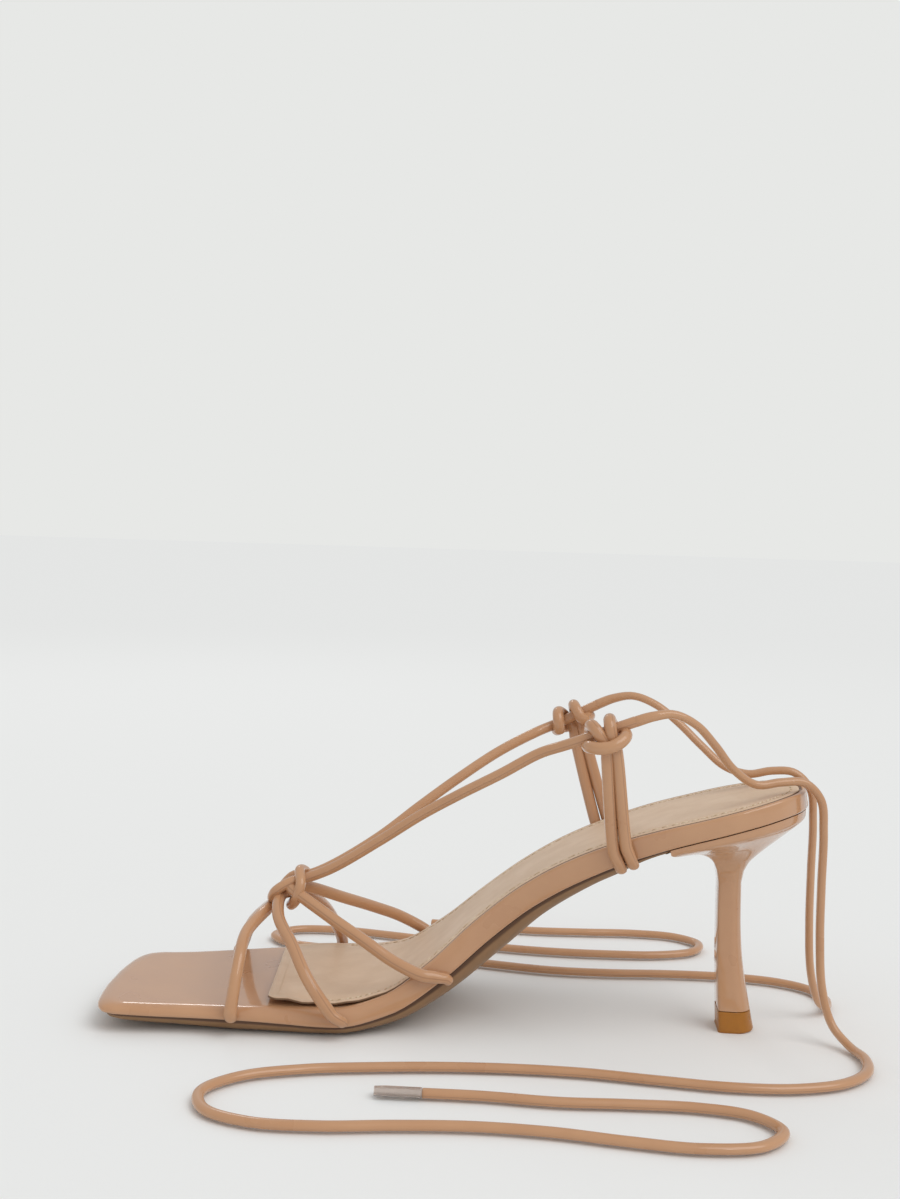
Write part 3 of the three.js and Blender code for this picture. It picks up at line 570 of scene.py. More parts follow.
def finish_piece(
    name: str,
    bm: BMesh,
    material: Material,
    stands_for: Sequence[str],
    forward: float = HEEL_TIP_FORWARD,
    crisp_angle: float = 42.0,
) -> Object:
    """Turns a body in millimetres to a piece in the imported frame.

    Args:
        name: The piece's name.
        bm: The body, which is used up.
        material: Its finish.
        stands_for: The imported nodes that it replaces.
        forward: How far the body's zero lies behind the frame's origin.
        crisp_angle: Edges that turn more than this many degrees stay crisp.

    Returns:
        The piece, riding on the shoe's body.
    """
    bmesh.ops.recalc_face_normals(bm, faces=bm.faces)
    bmesh.ops.translate(bm, vec=Vector((-forward, 0, 0)), verts=bm.verts)
    bmesh.ops.scale(bm, vec=Vector((MM, MM, MM)), verts=bm.verts)
    for face in bm.faces:
        face.smooth = True
    limit = math.radians(crisp_angle)
    for edge in bm.edges:
        if len(edge.link_faces) == 2 and edge.calc_face_angle() > limit:
            edge.smooth = False
    mesh = bpy.data.meshes.new(name)
    bm.to_mesh(mesh)
    bm.free()
    mesh.materials.append(material)
    piece = bpy.data.objects.new(name, mesh)
    bpy.context.scene.collection.objects.link(piece)
    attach(piece, BODY)
    if stands_for:
        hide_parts(*stands_for)
    log.info("%s: %d faces", name, len(mesh.polygons))
    return piece


def square_to(way: Vector, along: Vector) -> Vector:
    """The unit vector nearest to a way that is square to another one."""
    return (way - along * way.dot(along)).normalized()


def carried_ways(
    points: Sequence[Vector], start: Vector, end: Vector | None = None, closed: bool = False
) -> list[Ways]:
    """The way along and the thin way of a cord at each point, carried on without twist.

    Args:
        points: The cord's middle line.
        start: The thin way at the first point.
        end: The thin way wanted at the last point, reached by an even turn.
        closed: Whether the last point is followed by the first.

    Returns:
        A pair of unit vectors for each point.
    """
    last = len(points) - 1
    alongs = []
    for k in range(last + 1):
        before = points[k - 1] if k or closed else points[0]
        after = points[(k + 1) % (last + 1)] if k < last or closed else points[last]
        alongs.append((after - before).normalized())
    thins: list[Vector] = []
    for along in alongs:
        way = thins[-1] if thins else start
        thins.append(square_to(way, along))
    if end is not None:
        wanted = square_to(end, alongs[-1])
        across = alongs[-1].cross(thins[-1])
        turn = math.atan(wanted.dot(across) / wanted.dot(thins[-1]))
        for k, along in enumerate(alongs):
            thins[k] = Matrix.Rotation(turn * k / last, 3, along) @ thins[k]
    return list(zip(alongs, thins))


def level_on_floor(ways: list[Ways], share: float = 0.12) -> list[Ways]:
    """Lets a strip turn its flat side down, little by little, wherever it runs level."""
    turned: list[Ways] = []
    angle = 0.0
    for along, thin in ways:
        thin = Matrix.Rotation(angle, 3, along) @ thin
        flat = UP - along * UP.dot(along)
        if flat.length > 0.6:
            flat.normalize()
            if flat.dot(thin) < 0:
                flat.negate()
            off = math.atan2(along.dot(thin.cross(flat)), thin.dot(flat))
            angle += off * share
            thin = Matrix.Rotation(off * share, 3, along) @ thin
        turned.append((along, thin))
    return turned


@dataclass(frozen=True)
class Tube:
    """A cord's body: its middle line, its ways and half its width and thickness at each point."""

    points: Sequence[Vector]
    ways: Sequence[Ways]
    halves: Callable[[int], tuple[float, float]]
    sides: int = 20
    closed: bool = False
    end_round: float = 0.0

    def ring(self, k: int, share: float = 1.0, shift: float = 0.0) -> list[Vector]:
        """The section at a point, drawn in to a share of its size and shifted along."""
        along, thin = self.ways[k]
        wide = along.cross(thin)
        half_wide, half_thin = (half * share for half in self.halves(k))
        middle = self.points[k] + along * shift
        turns = [2 * math.pi * (i + 0.5) / self.sides for i in range(self.sides)]
        return [
            middle + wide * (half_wide * math.cos(turn)) + thin * (half_thin * math.sin(turn))
            for turn in turns
        ]

    def rings(self) -> list[list[Vector]]:
        """All sections in order, with small rounded ones at open ends."""
        plain = [self.ring(k) for k in range(len(self.points))]
        if self.closed or not self.end_round:
            return plain
        last = len(self.points) - 1
        caps = [(0.55, 1.0), (0.86, 0.62), (0.97, 0.25)]
        starts = [self.ring(0, share, -self.end_round * out) for share, out in caps]
        ends = [self.ring(last, share, self.end_round * out) for share, out in reversed(caps)]
        return [*starts, *plain, *ends]

    def build(self) -> BMesh:
        """The cord's skin, with UV along it in metres and once round it."""
        bm = bmesh.new()
        step = bm.verts.layers.int.new("step")
        turn = bm.verts.layers.int.new("turn")
        loops = bridge_rings(bm, self.rings(), self.closed)
        for i, vert in enumerate(bm.verts):
            vert[step], vert[turn] = divmod(i, self.sides)
        if not self.closed:
            bmesh.ops.edgeloop_fill(bm, edges=loops[0])
            bmesh.ops.edgeloop_fill(bm, edges=loops[-1])
        self.add_uv(bm, step, turn, len(loops))
        return bm

    def add_uv(self, bm: BMesh, step: BMLayerItem, turn: BMLayerItem, count: int) -> None:
        """Writes the UV map: U along the cord in metres, V once round it."""
        uv = bm.loops.layers.uv.new("UVMap")
        pace = curve_length(self.points) * MM / max(count - 1, 1)
        for face in bm.faces:
            steps = [loop.vert[step] for loop in face.loops]
            turns = [loop.vert[turn] for loop in face.loops]
            wraps = max(turns) - min(turns) > self.sides / 2
            turns_back = max(steps) - min(steps) > 1
            for loop in face.loops:
                k, i = loop.vert[step], loop.vert[turn]
                k = count if turns_back and k == 0 else k
                i = i + self.sides if wraps and i < self.sides / 2 else i
                loop[uv].uv = (k * pace, i / self.sides)


def steady(width: float, thickness: float) -> Callable[[int], tuple[float, float]]:
    """Half the width and thickness of a cord that is the same all along."""
    return lambda _k: (width / 2, thickness / 2)


def any_across(points: Sequence[Vector]) -> Vector:
    """Some way square to a line's start."""
    along = (points[1] - points[0]).normalized()
    return square_to(Vector((1, 0, 0)) if abs(along.z) > 0.9 else UP, along)


LAST_SECTIONS = Table(
    ("at", "rise", "swing", "width", "side", "floor"),
    (
        (0.0, 1.0, -0.012, 0.66, 1.15, 0.878),
        (0.038, 0.982, -0.012, 0.66, 1.15, 0.878),
        (0.089, 0.943, -0.007, 0.655, 1.15, 0.878),
        (0.151, 0.888, -0.005, 0.672, 1.15, 0.878),
        (0.215, 0.829, -0.007, 0.653, 1.22, 0.897),
        (0.278, 0.756, -0.013, 0.608, 1.32, 1.08),
        (0.342, 0.662, -0.022, 0.573, 1.42, 1.36),
        (0.405, 0.538, -0.034, 0.557, 1.43, 1.5),
        (0.468, 0.376, -0.049, 0.6, 1.42, 1.65),
        (0.531, 0.194, -0.06, 0.742, 1.33, 1.51),
        (0.594, 0.053, -0.07, 0.9, 1.15, 1.2),
        (0.658, 0.003, -0.067, 1.022, 1, 1.0),
        (0.691, 0.0, -0.06, 1.025, 0.93, 1.0),
        (0.722, 0.0, -0.049, 1.015, 0.85, 1.0),
        (0.786, 0.0, -0.009, 0.962, 0.72, 1.0),
        (0.85, 0.0, 0.034, 0.897, 0.67, 0.9),
        (0.889, 0.001, 0.064, 0.86, 0.65, 0.8),
        (0.938, 0.006, 0.104, 0.822, 0.62, 0.71),
        (1.0, 0.012, 0.138, 0.79, 0.58, 0.65),
    ),
)

TOE_ROUNDING = Table(
    ("at", "width"),
    ((0, 0.24), (0.08, 0.52), (0.19, 0.74), (0.36, 0.88), (0.62, 0.965), (1, 1)),
)


@dataclass(frozen=True)
class Last:
    """The form that the shoe is made on: the footbed's plan, its arch and its toe spring."""

    length: float = 235.4
    ball_width: float = 76.0
    seat_height: float = 83.2
    footbed_thickness: float = 5.5
    forefoot_top: float = 9.0
    seat_round: float = 30.0
    toe_round: float = 8.5
    toe_skew: float = -0.02
    waist_end: float = 0.532
    ball_start: float = 0.672

    def share(self, name: str, x: float) -> float:
        """A column of the last's table at a distance from the seat's back."""
        return LAST_SECTIONS.value(name, x / self.length)

    def top(self, x: float) -> float:
        """Height of the footbed's top."""
        return self.forefoot_top + self.share("rise", x) * (self.seat_height - self.forefoot_top)

    def side(self, x: float) -> float:
        """Depth of the seam under the footbed's side."""
        return self.share("side", x) * self.footbed_thickness

    def sole_depth(self, x: float) -> float:
        """Depth of the outsole's floor face."""
        return self.share("floor", x) * self.forefoot_top

    def forefoot(self, x: float) -> float:
        """Zero up to the waist and one from the ball on."""
        return smooth_step(x / self.length, self.waist_end, self.ball_start)

    def place(self, x: float, y: float, depth: float) -> Vector:
        """A point by its plan position and its depth below the top, square to it."""
        back, front = max(x - 0.5, 0), min(x + 0.5, self.length)
        slope = (self.top(front) - self.top(back)) / (front - back) if front > back else 0
        drop = depth / math.hypot(slope, 1)
        return Vector((x + slope * drop, y, self.top(x) - drop))

    def half_width(self, x: float) -> float:
        """Half the width of the footbed, drawn in round the seat and at the toe's corners."""
        half = self.share("width", x) * self.ball_width / 2
        if x < self.seat_round:
            return half * math.sqrt(1 - (1 - x / self.seat_round) ** 2)
        return half * TOE_ROUNDING.value("width", (self.length - x) / self.toe_round)

    def edge(self, x: float, side: int) -> Vector:
        """The plan point on a side's edge."""
        across = side * self.half_width(x)
        skew = self.toe_skew * smooth_step(x / self.length, 0.75, 1)
        return Vector((x + skew * across, self.share("swing", x) * self.ball_width + across))

    def spots(self, start: float, end: float) -> list[float]:
        """Section positions, close together round the seat and at the toe's corners."""
        seat = [self.seat_round * (1 - math.cos(k / 18 * QUARTER_TURN)) for k in range(18)]
        toe_start = self.length - self.toe_round
        steps = 84
        plain = [lerp(self.seat_round, toe_start, k / steps) for k in range(steps)]
        toe = [toe_start + self.toe_round * math.sin(k / 14 * QUARTER_TURN) for k in range(15)]
        inside = [x for x in (*seat, *plain, *toe) if start + 0.2 < x < end - 0.2]
        return [start, *inside, end]

    def plan(self, spots: Sequence[float], slant: float = 0.0) -> list[Vector]:
        """A closed plan loop: the medial edge forwards, then the lateral edge back.

        Args:
            spots: The section positions.
            slant: How much farther back the medial front corner lies than the lateral one.

        Returns:
            Its points.
        """
        front = spots[-1]

        def moved(x: float, side: int) -> float:
            return x - side * slant * smooth_step(x, front / 2, front) / 2

        medial = [self.edge(moved(x, 1), 1) for x in spots]
        lateral = [self.edge(moved(x, -1), -1) for x in spots]
        return [*medial, *reversed(lateral)]


def inset_loop(
    loop: Sequence[Vector],
    amount: Depth,
    square_front: bool = False,
    sideways_from: float | None = None,
) -> list[Vector]:
    """The loop moved inwards.

    Args:
        loop: A plan loop whose halves are the two sides.
        amount: How far, at a distance from the seat's back.
        square_front: Whether the front corners move square to their sides only.
        sideways_from: Where along the shoe the points begin to move straight sideways, if any.

    Returns:
        The moved points.
    """
    count = len(loop)
    half = count // 2
    moved = []
    for i, point in enumerate(loop):
        before, after = loop[i - 1], loop[(i + 1) % count]
        if (before - point).length < 1e-6:
            before = loop[i - 2]
        if (after - point).length < 1e-6:
            after = loop[(i + 2) % count]
        if square_front and i == half - 1:
            after = point * 2 - before
        if square_front and i == half:
            before = point * 2 - after
        a, b = (point - before).normalized(), (after - point).normalized()
        outward = Vector((-(a.y + b.y), a.x + b.x)).normalized()
        if sideways_from is not None:
            turned = smooth_step(point.x, sideways_from, sideways_from + TOE_REACH / 2)
            outward = outward.lerp(Vector((0, 1 if i < half else -1)), turned)
        moved.append(point - outward.normalized() * amount(point.x))
    return moved


@dataclass(frozen=True)
class Row:
    """One ring of a layer: how far it is drawn in and how deep it lies."""

    inset: Depth
    depth: Depth


def layer_rings(last: Last, spots: Sequence[float], rows: Sequence[Row]) -> list[list[Vector]]:
    """The rings of a layer of the bottom, from its underside to its top."""
    rings = []
    for row in rows:
        short = row.inset(last.length)
        toe = last.length - TOE_REACH
        loop = inset_loop(last.plan(spots), row.inset, square_front=True, sideways_from=toe)
        for point, x in zip(loop, [*spots, *reversed(spots)]):
            point.x -= short * smooth_step(x, toe, last.length)
        rings.append([last.place(p.x, p.y, row.depth(p.x)) for p in loop])
    return rings


@dataclass(frozen=True)
class Footbed:
    """The insole board wrapped in patent leather, with a soft edge at the toe."""

    last: Last
    top_radius: float = 1.0
    toe_radius: float = 4.6
    above_seam: float = 1.0
    recess: float = 1.2

    def rows(self) -> list[Row]:
        """Its rings from the seam up over the edge to the top."""
        side = self.last.side
        under = [(1.3, 0.0), (0.7, 0.04), (0.3, 0.2), (0.08, 0.5), (0.0, 0.85)]
        rows = [
            Row(lambda _x, inset=inset: inset, lambda x, up=up: side(x) - up) for inset, up in under
        ]

        def inward(x: float) -> float:
            return lerp(self.top_radius, self.toe_radius, self.last.forefoot(x))

        def down(x: float) -> float:
            return lerp(self.top_radius, side(x) - self.above_seam, self.last.forefoot(x))

        def sunk(x: float) -> float:
            return self.recess * (1 - self.last.forefoot(x))

        steps = 8
        for k in range(steps + 1):
            turn = k / steps * QUARTER_TURN
            rows.append(
                Row(
                    lambda x, turn=turn: inward(x) * (1 - math.cos(turn)),
                    lambda x, turn=turn: down(x) * (1 - math.sin(turn)),
                )
            )
        rows.append(Row(lambda x: inward(x) + 0.25, lambda _x: 0.0))
        rows.append(Row(lambda x: inward(x) + 0.45, sunk))
        rows.append(Row(lambda x: inward(x) + 1.6, sunk))
        return rows

    def build(self, leather: Material) -> Object:
        """The wrapped footbed."""
        rings = layer_rings(self.last, self.last.spots(0, self.last.length), self.rows())
        bm = loft(rings, top_cuts=15)
        return finish_piece("footbed_wrapped", bm, leather, ["footbed"])


@dataclass(frozen=True)
class Outsole:
    """The thin moulded outsole, deeper under the waist and where the ankle loops are lasted."""

    last: Last
    inset: float = 1.7
    start: float = 48.2
    swell_at: float = 67.0
    swell_reach: float = 6.5
    swell: float = 0.9

    def build(self, plastic: Material) -> Object:
        """The outsole from the heel's breast to the toe."""
        last = self.last

        def top(x: float) -> float:
            return last.side(x) + GLUE_GAP

        def thickness(x: float) -> float:
            swell = self.swell * math.exp(-(((x - self.swell_at) / self.swell_reach) ** 2))
            return last.sole_depth(x) + swell - top(x)

        shape = Table(
            ("depth", "inset"),
            (
                (0.0, 0.0),
                (0.14, 0.02),
                (0.26, 0.05),
                (0.5, 0.2),
                (0.68, 0.44),
                (0.84, 0.8),
                (0.94, 1.25),
                (1.0, 1.9),
            ),
        )
        rows = [
            Row(
                lambda x, drawn=drawn: self.inset + drawn * thickness(x),
                lambda x, share=share: top(x) + share * thickness(x),
            )
            for share, drawn in reversed(shape.rows)
        ]
        rings = layer_rings(last, last.spots(self.start, last.length), rows)
        bm = loft(rings)
        # The top two rings get the dark seam colour: painted shade where the outsole meets the footbed.
        layer = bm.verts.layers.float.new(EDGE_STAIN_AND_SHADE)
        glued = {tuple(round(c, 3) for c in p) for ring in rings[-2:] for p in ring}
        for vert in bm.verts:
            vert[layer] = 1.0 if tuple(round(c, 3) for c in vert.co) in glued else 0.0
        return finish_piece("outsole_moulded", bm, plastic, ["outsole"])


@dataclass(frozen=True)
class SockLining:
    """The lining glued into the footbed, sewn round its edge, lifting a little at its corner."""

    last: Last
    thickness: float = 0.9
    gap: float = 0.5
    recess: float = 1.2
    seat_margin: float = 2.2
    forefoot_margin: float = 5.0
    front: float = 180.8
    slant: float = 6.5
    corner_round: float = 4.5
    corner_lift: float = 1.3
    # How far up the cut edge, as a share of the thickness, the dark edge colour reaches: partly edge
    # stain, partly painted shade.
    edge_stain_and_shade: float = 0.65
    edge_wave: float = 0.22
    edge_wave_length: float = 9.5
    corner_reach: float = 8.0
    sewing_inset: float = 2.6
    stitch_length: float = 2.5
    stitch_pitch: float = 3.3
    stitch_width: float = 0.55
    sewn_to: float = 163.0

    def margin(self, x: float) -> float:
        """How far the lining's edge lies inside the footbed's."""
        return lerp(self.seat_margin, self.forefoot_margin, self.last.forefoot(x))

    def under(self, x: float) -> float:
        """Depth of the lining's glued face."""
        return self.recess * (1 - self.last.forefoot(x)) - self.gap

    def relief(self, point: Vector) -> float:
        """Lift of the lining by its loose corner and by the soft creases behind it."""
        corner = self.last.edge(self.front - self.slant / 2, 1)
        off = math.hypot(point.x - corner.x + 1.5, point.y - corner.y + self.forefoot_margin)
        lift = self.corner_lift * math.exp(-((off / self.corner_reach) ** 2))
        creases = ((10.0, 0.22, 2.6, 0.10), (19.0, -0.1, 3.4, -0.08), (30.0, 0.3, 4.0, 0.07))
        for back, tilt, width, height in creases:
            x = corner.x - back + tilt * (corner.y - point.y)
            across = math.exp(-(((corner.y - point.y - 16) / 18) ** 2))
            lift += height * across * math.exp(-(((point.x - x) / width) ** 2))
        loose = smooth_step(point.x, corner.x - 45, corner.x - 20)
        rim = math.exp(-(((self.last.edge(point.x, 1).y - self.forefoot_margin - point.y) / 3) ** 2))
        phase = 2 * math.pi * (point.x - corner.x) / self.edge_wave_length
        return lift + self.edge_wave * loose * rim * (1 + math.sin(phase))

    def outline(self) -> list[Vector]:
        """The lining's edge in plan, with its rounded front corners."""
        radius = self.corner_round
        straight = self.front - radius
        spots = [x * straight / self.front for x in self.last.spots(0, self.front)]
        turns = [k / 8 * QUARTER_TURN for k in range(1, 9)]
        first = len(spots)
        spots += [straight + radius * math.sin(turn) for turn in turns]
        loop = inset_loop(self.last.plan(spots, self.slant), self.margin, square_front=True)
        for k, turn in enumerate(turns, first):
            loop[k].y -= radius * (1 - math.cos(turn))
            loop[-1 - k].y += radius * (1 - math.cos(turn))
        return loop

    def ring(self, inset: float, up: float) -> list[Vector]:
        """A ring a distance inside the lining's edge and above its glued face."""
        flat = inset_loop(self.outline(), lambda _x: inset)
        points = [self.last.place(p.x, p.y, self.under(p.x) - up) for p in flat]
        return [p + UP * self.relief(p) for p in points]

    def build(self, leather: Material) -> Object:
        """The lining with its rounded cut edge and its sewn groove."""
        t = self.thickness
        sewn = self.sewing_inset
        section = (
            (0.12, 0.0),
            (0.0, 0.12),
            (0.0, 0.62 * t),
            (0.1, 0.86 * t),
            (0.35, t),
            (sewn - 0.75, t),
            (sewn - 0.3, t - 0.14),
            (sewn + 0.3, t - 0.14),
            (sewn + 0.75, t),
        )
        rings = [self.ring(inset, up) for inset, up in section]
        bm = loft(rings, bottom_cuts=11, top_cuts=11)
        bmesh.ops.recalc_face_normals(bm, faces=bm.faces)
        bm.normal_update()
        inner = {tuple(round(c, 3) for c in p) for ring in rings for p in ring}
        layer = bm.verts.layers.float.new(EDGE_STAIN_AND_SHADE)
        for vert in bm.verts:
            key = tuple(round(c, 3) for c in vert.co)
            glued = self.last.place(vert.co.x, vert.co.y, self.under(vert.co.x))
            height = vert.co.z - glued.z - self.relief(vert.co)
            # The lower rim of the cut edge gets the dark edge colour: partly edge stain, partly painted
            # shade.
            vert[layer] = 1.0 if key in inner and height < self.edge_stain_and_shade * t else 0.0
            if key not in inner:
                up = t if vert.normal.z > 0 else 0.0
                level = self.last.place(vert.co.x, vert.co.y, self.under(vert.co.x) - up)
                vert.co.z = level.z + self.relief(vert.co)
        return finish_piece("sock_lining_sewn", bm, leather, ["sock_lining"])

    def stitch_line(self) -> list[Vector]:
        """The sewn line from the medial forefoot round the seat to the lateral forefoot."""
        ring = self.ring(self.sewing_inset, self.thickness - 0.05)
        half = len(ring) // 2
        line = [*reversed(ring[:half]), *reversed(ring[half + 1 : -1])]
        return [p for p in line if p.x < self.sewn_to]

    def build_stitches(self, thread: Material) -> Object:
        """The stitches: short rounded strands laid along the sewn groove."""
        path = smooth_curve(self.stitch_line(), 0.55)
        pace = curve_length(path) / (len(path) - 1)
        every = round(self.stitch_pitch / pace)
        span = round(self.stitch_length / pace)
        bm = bmesh.new()
        for k in range(0, len(path) - span - 1, every):
            a, b = path[k], path[k + span]
            along = (b - a).normalized()
            up = square_to(UP, along)
            turn = Matrix((along, up.cross(along), up)).transposed()
            size = Vector(((b - a).length / 2, self.stitch_width / 2, self.stitch_width / 2))
            frame = Matrix.Translation((a + b) / 2) @ turn.to_4x4() @ Matrix.Diagonal(size).to_4x4()
            bmesh.ops.create_uvsphere(bm, u_segments=8, v_segments=5, radius=1, matrix=frame)
        return finish_piece("sock_stitches", bm, thread, [])


@dataclass(frozen=True)
class Heel:
    """The slim covered heel: a cup under the seat, a funnel and a shaft flared at its foot."""

    last: Last
    lip: float = 49.5
    inset: float = 0.7
    shaft_top: float = 50.0
    shaft_back: float = 20.6
    shaft_depth: float = 8.1
    shaft_width: float = 9.4
    lift_depth: float = 12.0
    lift_width: float = 13.0
    lift_height: float = 7.0
    lift_back: float = 15.5
    cup: Table = Table(
        ("at", "reach", "back", "front"),
        (
            (0, 1, 0, 0),
            (1, 0.99, 0.1, 0.1),
            (2, 0.93, 0.165, 0.15),
            (3, 0.78, 0.27, 0.18),
            (4, 0.6, 0.39, 0.2),
            (5, 0.42, 0.51, 0.23),
            (6, 0.25, 0.63, 0.32),
            (7, 0.12, 0.735, 0.48),
            (8, 0.04, 0.85, 0.7),
        ),
    )
    shaft: Table = Table(
        ("fall", "flare"), ((0, 0), (0.25, 0.02), (0.5, 0.12), (0.75, 0.38), (1, 0.8))
    )

    def section(self) -> list[tuple[float, float]]:
        """Shares of the depth from back to front with the share of half the width at each."""
        turns = [k / 14 * QUARTER_TURN for k in range(15)]
        back = [(0.5 * (1 - math.cos(turn)), math.sin(turn)) for turn in turns]
        front = [(0.6, 1.0), (0.7, 1.0), (0.8, 0.995), (0.9, 0.98), (0.955, 0.955)]
        return [*back, *front, (0.985, 0.92), (1.0, 0.86)]

    def ring(self, back: float, depth: float, width: float, height: float) -> list[Vector]:
        """One level ring."""
        medial = [Vector((back + depth * at, half * width / 2, height)) for at, half in self.section()]
        lateral = [Vector((p.x, -p.y, p.z)) for p in medial]
        return [*medial, *reversed(lateral)]

    def shaft_ring(self, flare: float, height: float) -> list[Vector]:
        """A ring of the shaft or the top lift by its share of the flare."""
        return self.ring(
            lerp(self.shaft_back, self.lift_back, flare),
            lerp(self.shaft_depth, self.lift_depth, flare),
            lerp(self.shaft_width, self.lift_width, flare),
            height,
        )

    def cup_rings(self) -> list[list[Vector]]:
        """The rings from the seat's seam down the funnel."""
        neck = self.shaft_ring(0.0, self.shaft_top)
        section = self.section()
        loop = self.last.plan([self.lip * at for at, _ in section])
        seat = [
            self.last.place(p.x, p.y, self.last.side(p.x) + GLUE_GAP)
            for p in inset_loop(loop, lambda _x: self.inset)
        ]
        rings = []
        steps = 34
        for k in range(steps + 1):
            at = 8 * k / steps
            reach, back, front = (self.cup.value(name, at) for name in ("reach", "back", "front"))
            ring = []
            for i, (low, high) in enumerate(zip(neck, seat)):
                across = section[i if i < len(section) else len(seat) - 1 - i][0]
                drop = lerp(back, front, across**1.5)
                x, y = lerp(low.x, high.x, reach), lerp(low.y, high.y, reach)
                ring.append(Vector((x, y, lerp(high.z, low.z, drop))))
            rings.append(ring)
        return rings

    def build(self, leather: Material) -> Object:
        """The covered heel."""
        low = self.lift_height + GLUE_GAP
        rings = self.cup_rings()
        steps = 22
        for k in range(steps + 1):
            fall = k / steps
            flare = self.shaft.value("flare", fall)
            rings.append(self.shaft_ring(flare, lerp(self.shaft_top, low, fall)))
        return finish_piece("heel_covered", loft(rings), leather, ["heel"])

    def build_top_lift(self, plastic: Material) -> Object:
        """The moulded top lift with its softened edges."""
        profile = (
            (self.lift_height, 0.74),
            (self.lift_height - 0.12, 0.795),
            (self.lift_height - 0.4, 0.81),
            (4.0, 0.9),
            (1.6, 1.0),
            (0.9, 1.035),
            (0.35, 1.0),
            (0.0, 0.87),
        )
        rings = [self.shaft_ring(flare, height) for height, flare in profile]
        return finish_piece("top_lift_moulded", loft(rings), plastic, ["top_lift"])


@dataclass(frozen=True)
class StrapEnd:
    """Where a strap is lasted under the footbed, and its lean in strap diameters."""

    at: float
    lean: float


@dataclass(frozen=True)
class VampStrap:
    """A rolled strap from the medial edge over the foot to the lateral edge."""

    name: str
    medial: StrapEnd
    arch: tuple[Spot, ...]
    lateral: StrapEnd


VAMP_STRAPS = (
    VampStrap(
        "strap_front",
        StrapEnd(0.798, 0),
        (
            (0.794, 0.82, 0.56), (0.795, 0.5, 0.7), (0.777, 0.05, 0.8), (0.793, -0.3, 0.7),
            (0.823, -0.57, 0.5),
        ),
        StrapEnd(0.842, 0.4),
    ),
    VampStrap(
        "strap_middle",
        StrapEnd(0.66, -0.7),
        (
            (0.692, 0.93, 0.46), (0.721, 0.7, 0.65), (0.753, 0.38, 0.81),
            (0.758, 0.05, 0.91), (0.734, -0.22, 0.87), (0.712, -0.66, 0.66),
            (0.699, -1.0, 0.4),
        ),
        StrapEnd(0.693, 0),
    ),
    VampStrap(
        "strap_back",
        StrapEnd(0.549, -1.3),
        (
            (0.578, 0.63, 0.555), (0.625, 0.54, 0.69), (0.68, 0.38, 0.83),
            (0.748, 0.08, 1.0), (0.722, -0.16, 0.93), (0.678, -0.45, 0.79),
            (0.636, -0.75, 0.65), (0.597, -0.95, 0.53),
        ),
        StrapEnd(0.566, -0.3),
    ),
)

STRAP_FOOT = Table(
    ("out", "down", "below"),
    (
        (0.62, 1, 0.2), (0.88, 0.94, 0), (1.08, 0.78, 0), (1.22, 0.5, 0), (1.27, 0.2, 0),
    ),
)

LACE_MEDIAL = (
    (0.722, 0.1, 1.06), (0.684, 0.13, 1.155), (0.612, 0.24, 1.42), (0.552, 0.38, 1.66),
    (0.497, 0.53, 1.855), (0.437, 0.69, 2.055), (0.384, 0.76, 2.235), (0.348, 0.87, 2.319),
)
LACE_LATERAL = (
    (0.722, -0.08, 1.06), (0.688, -0.1, 1.145), (0.62, -0.2, 1.385), (0.561, -0.38, 1.64),
    (0.505, -0.57, 1.87), (0.446, -0.76, 2.09), (0.392, -0.9, 2.25),
)
BIGHT = (
    (0.745, 0.19, 1.03), (0.766, 0.19, 0.95), (0.773, 0.05, 0.87), (0.765, -0.13, 0.92),
    (0.747, -0.16, 1.03),
)
KEEPER = (
    (0.733, 0.06, 1.115), (0.727, 0.3, 1.03), (0.733, 0.3, 0.91), (0.745, 0.04, 0.825),
    (0.733, -0.24, 0.91), (0.727, -0.24, 1.03),
)

HITCH_STRANDS = (
    (
        (-0.69, -2.0, 0.72), (-0.42, -1.1, 0.82), (-0.52, -0.4, 0.95), (-0.73, 0.42, 0.84),
        (-0.94, 0.86, 0.1), (-1.1, 0.5, -0.78), (-1.33, -0.12, -0.98), (-1.55, -0.5, -0.72),
    ),
    (
        (0.1, -2.2, 0.72), (0.26, -1.2, 0.82), (0.22, -0.48, 0.95), (0.38, 0.4, 0.88),
        (0.55, 0.84, 0.1), (0.64, 0.4, -0.8), (0.72, -0.3, -0.96), (1.0, -0.66, -0.66),
    ),
)
HITCH_BAR = (
    (-1.42, -0.46, -0.75), (-1.78, -0.55, 0.15), (-1.6, -0.6, 1.15), (-0.98, -0.84, 1.7),
    (-0.22, -1.0, 1.84), (0.55, -0.96, 1.64), (1.2, -0.77, 1.06), (1.36, -0.62, 0.1),
    (0.9, -0.6, -0.7),
)


@dataclass(frozen=True)
class AnkleLoop:
    """A doubled strap from the seat's edge, hitched round the lace at ankle height."""

    name: str
    side: Side
    foot: float
    knot: float
    up: float
    lean: float


ANKLE_LOOPS = (
    AnkleLoop("ankle_loop_medial", Side.MEDIAL, 0.27, 0.293, 2.448, 0.38),
    AnkleLoop("ankle_loop_lateral", Side.LATERAL, 0.288, 0.336, 2.395, 0.52),
)


@dataclass(frozen=True)
class HitchFrame:
    """The place of a hitch with the ways along its lace, up and outward."""

    center: Vector
    along: Vector
    up: Vector
    outward: Vector

    def at(self, row: Spot) -> Vector:
        """A point given in strap diameters along, up and outward."""
        along, up, outward = (share * STRAP_DIAMETER for share in row)
        return self.center + self.along * along + self.up * up + self.outward * outward


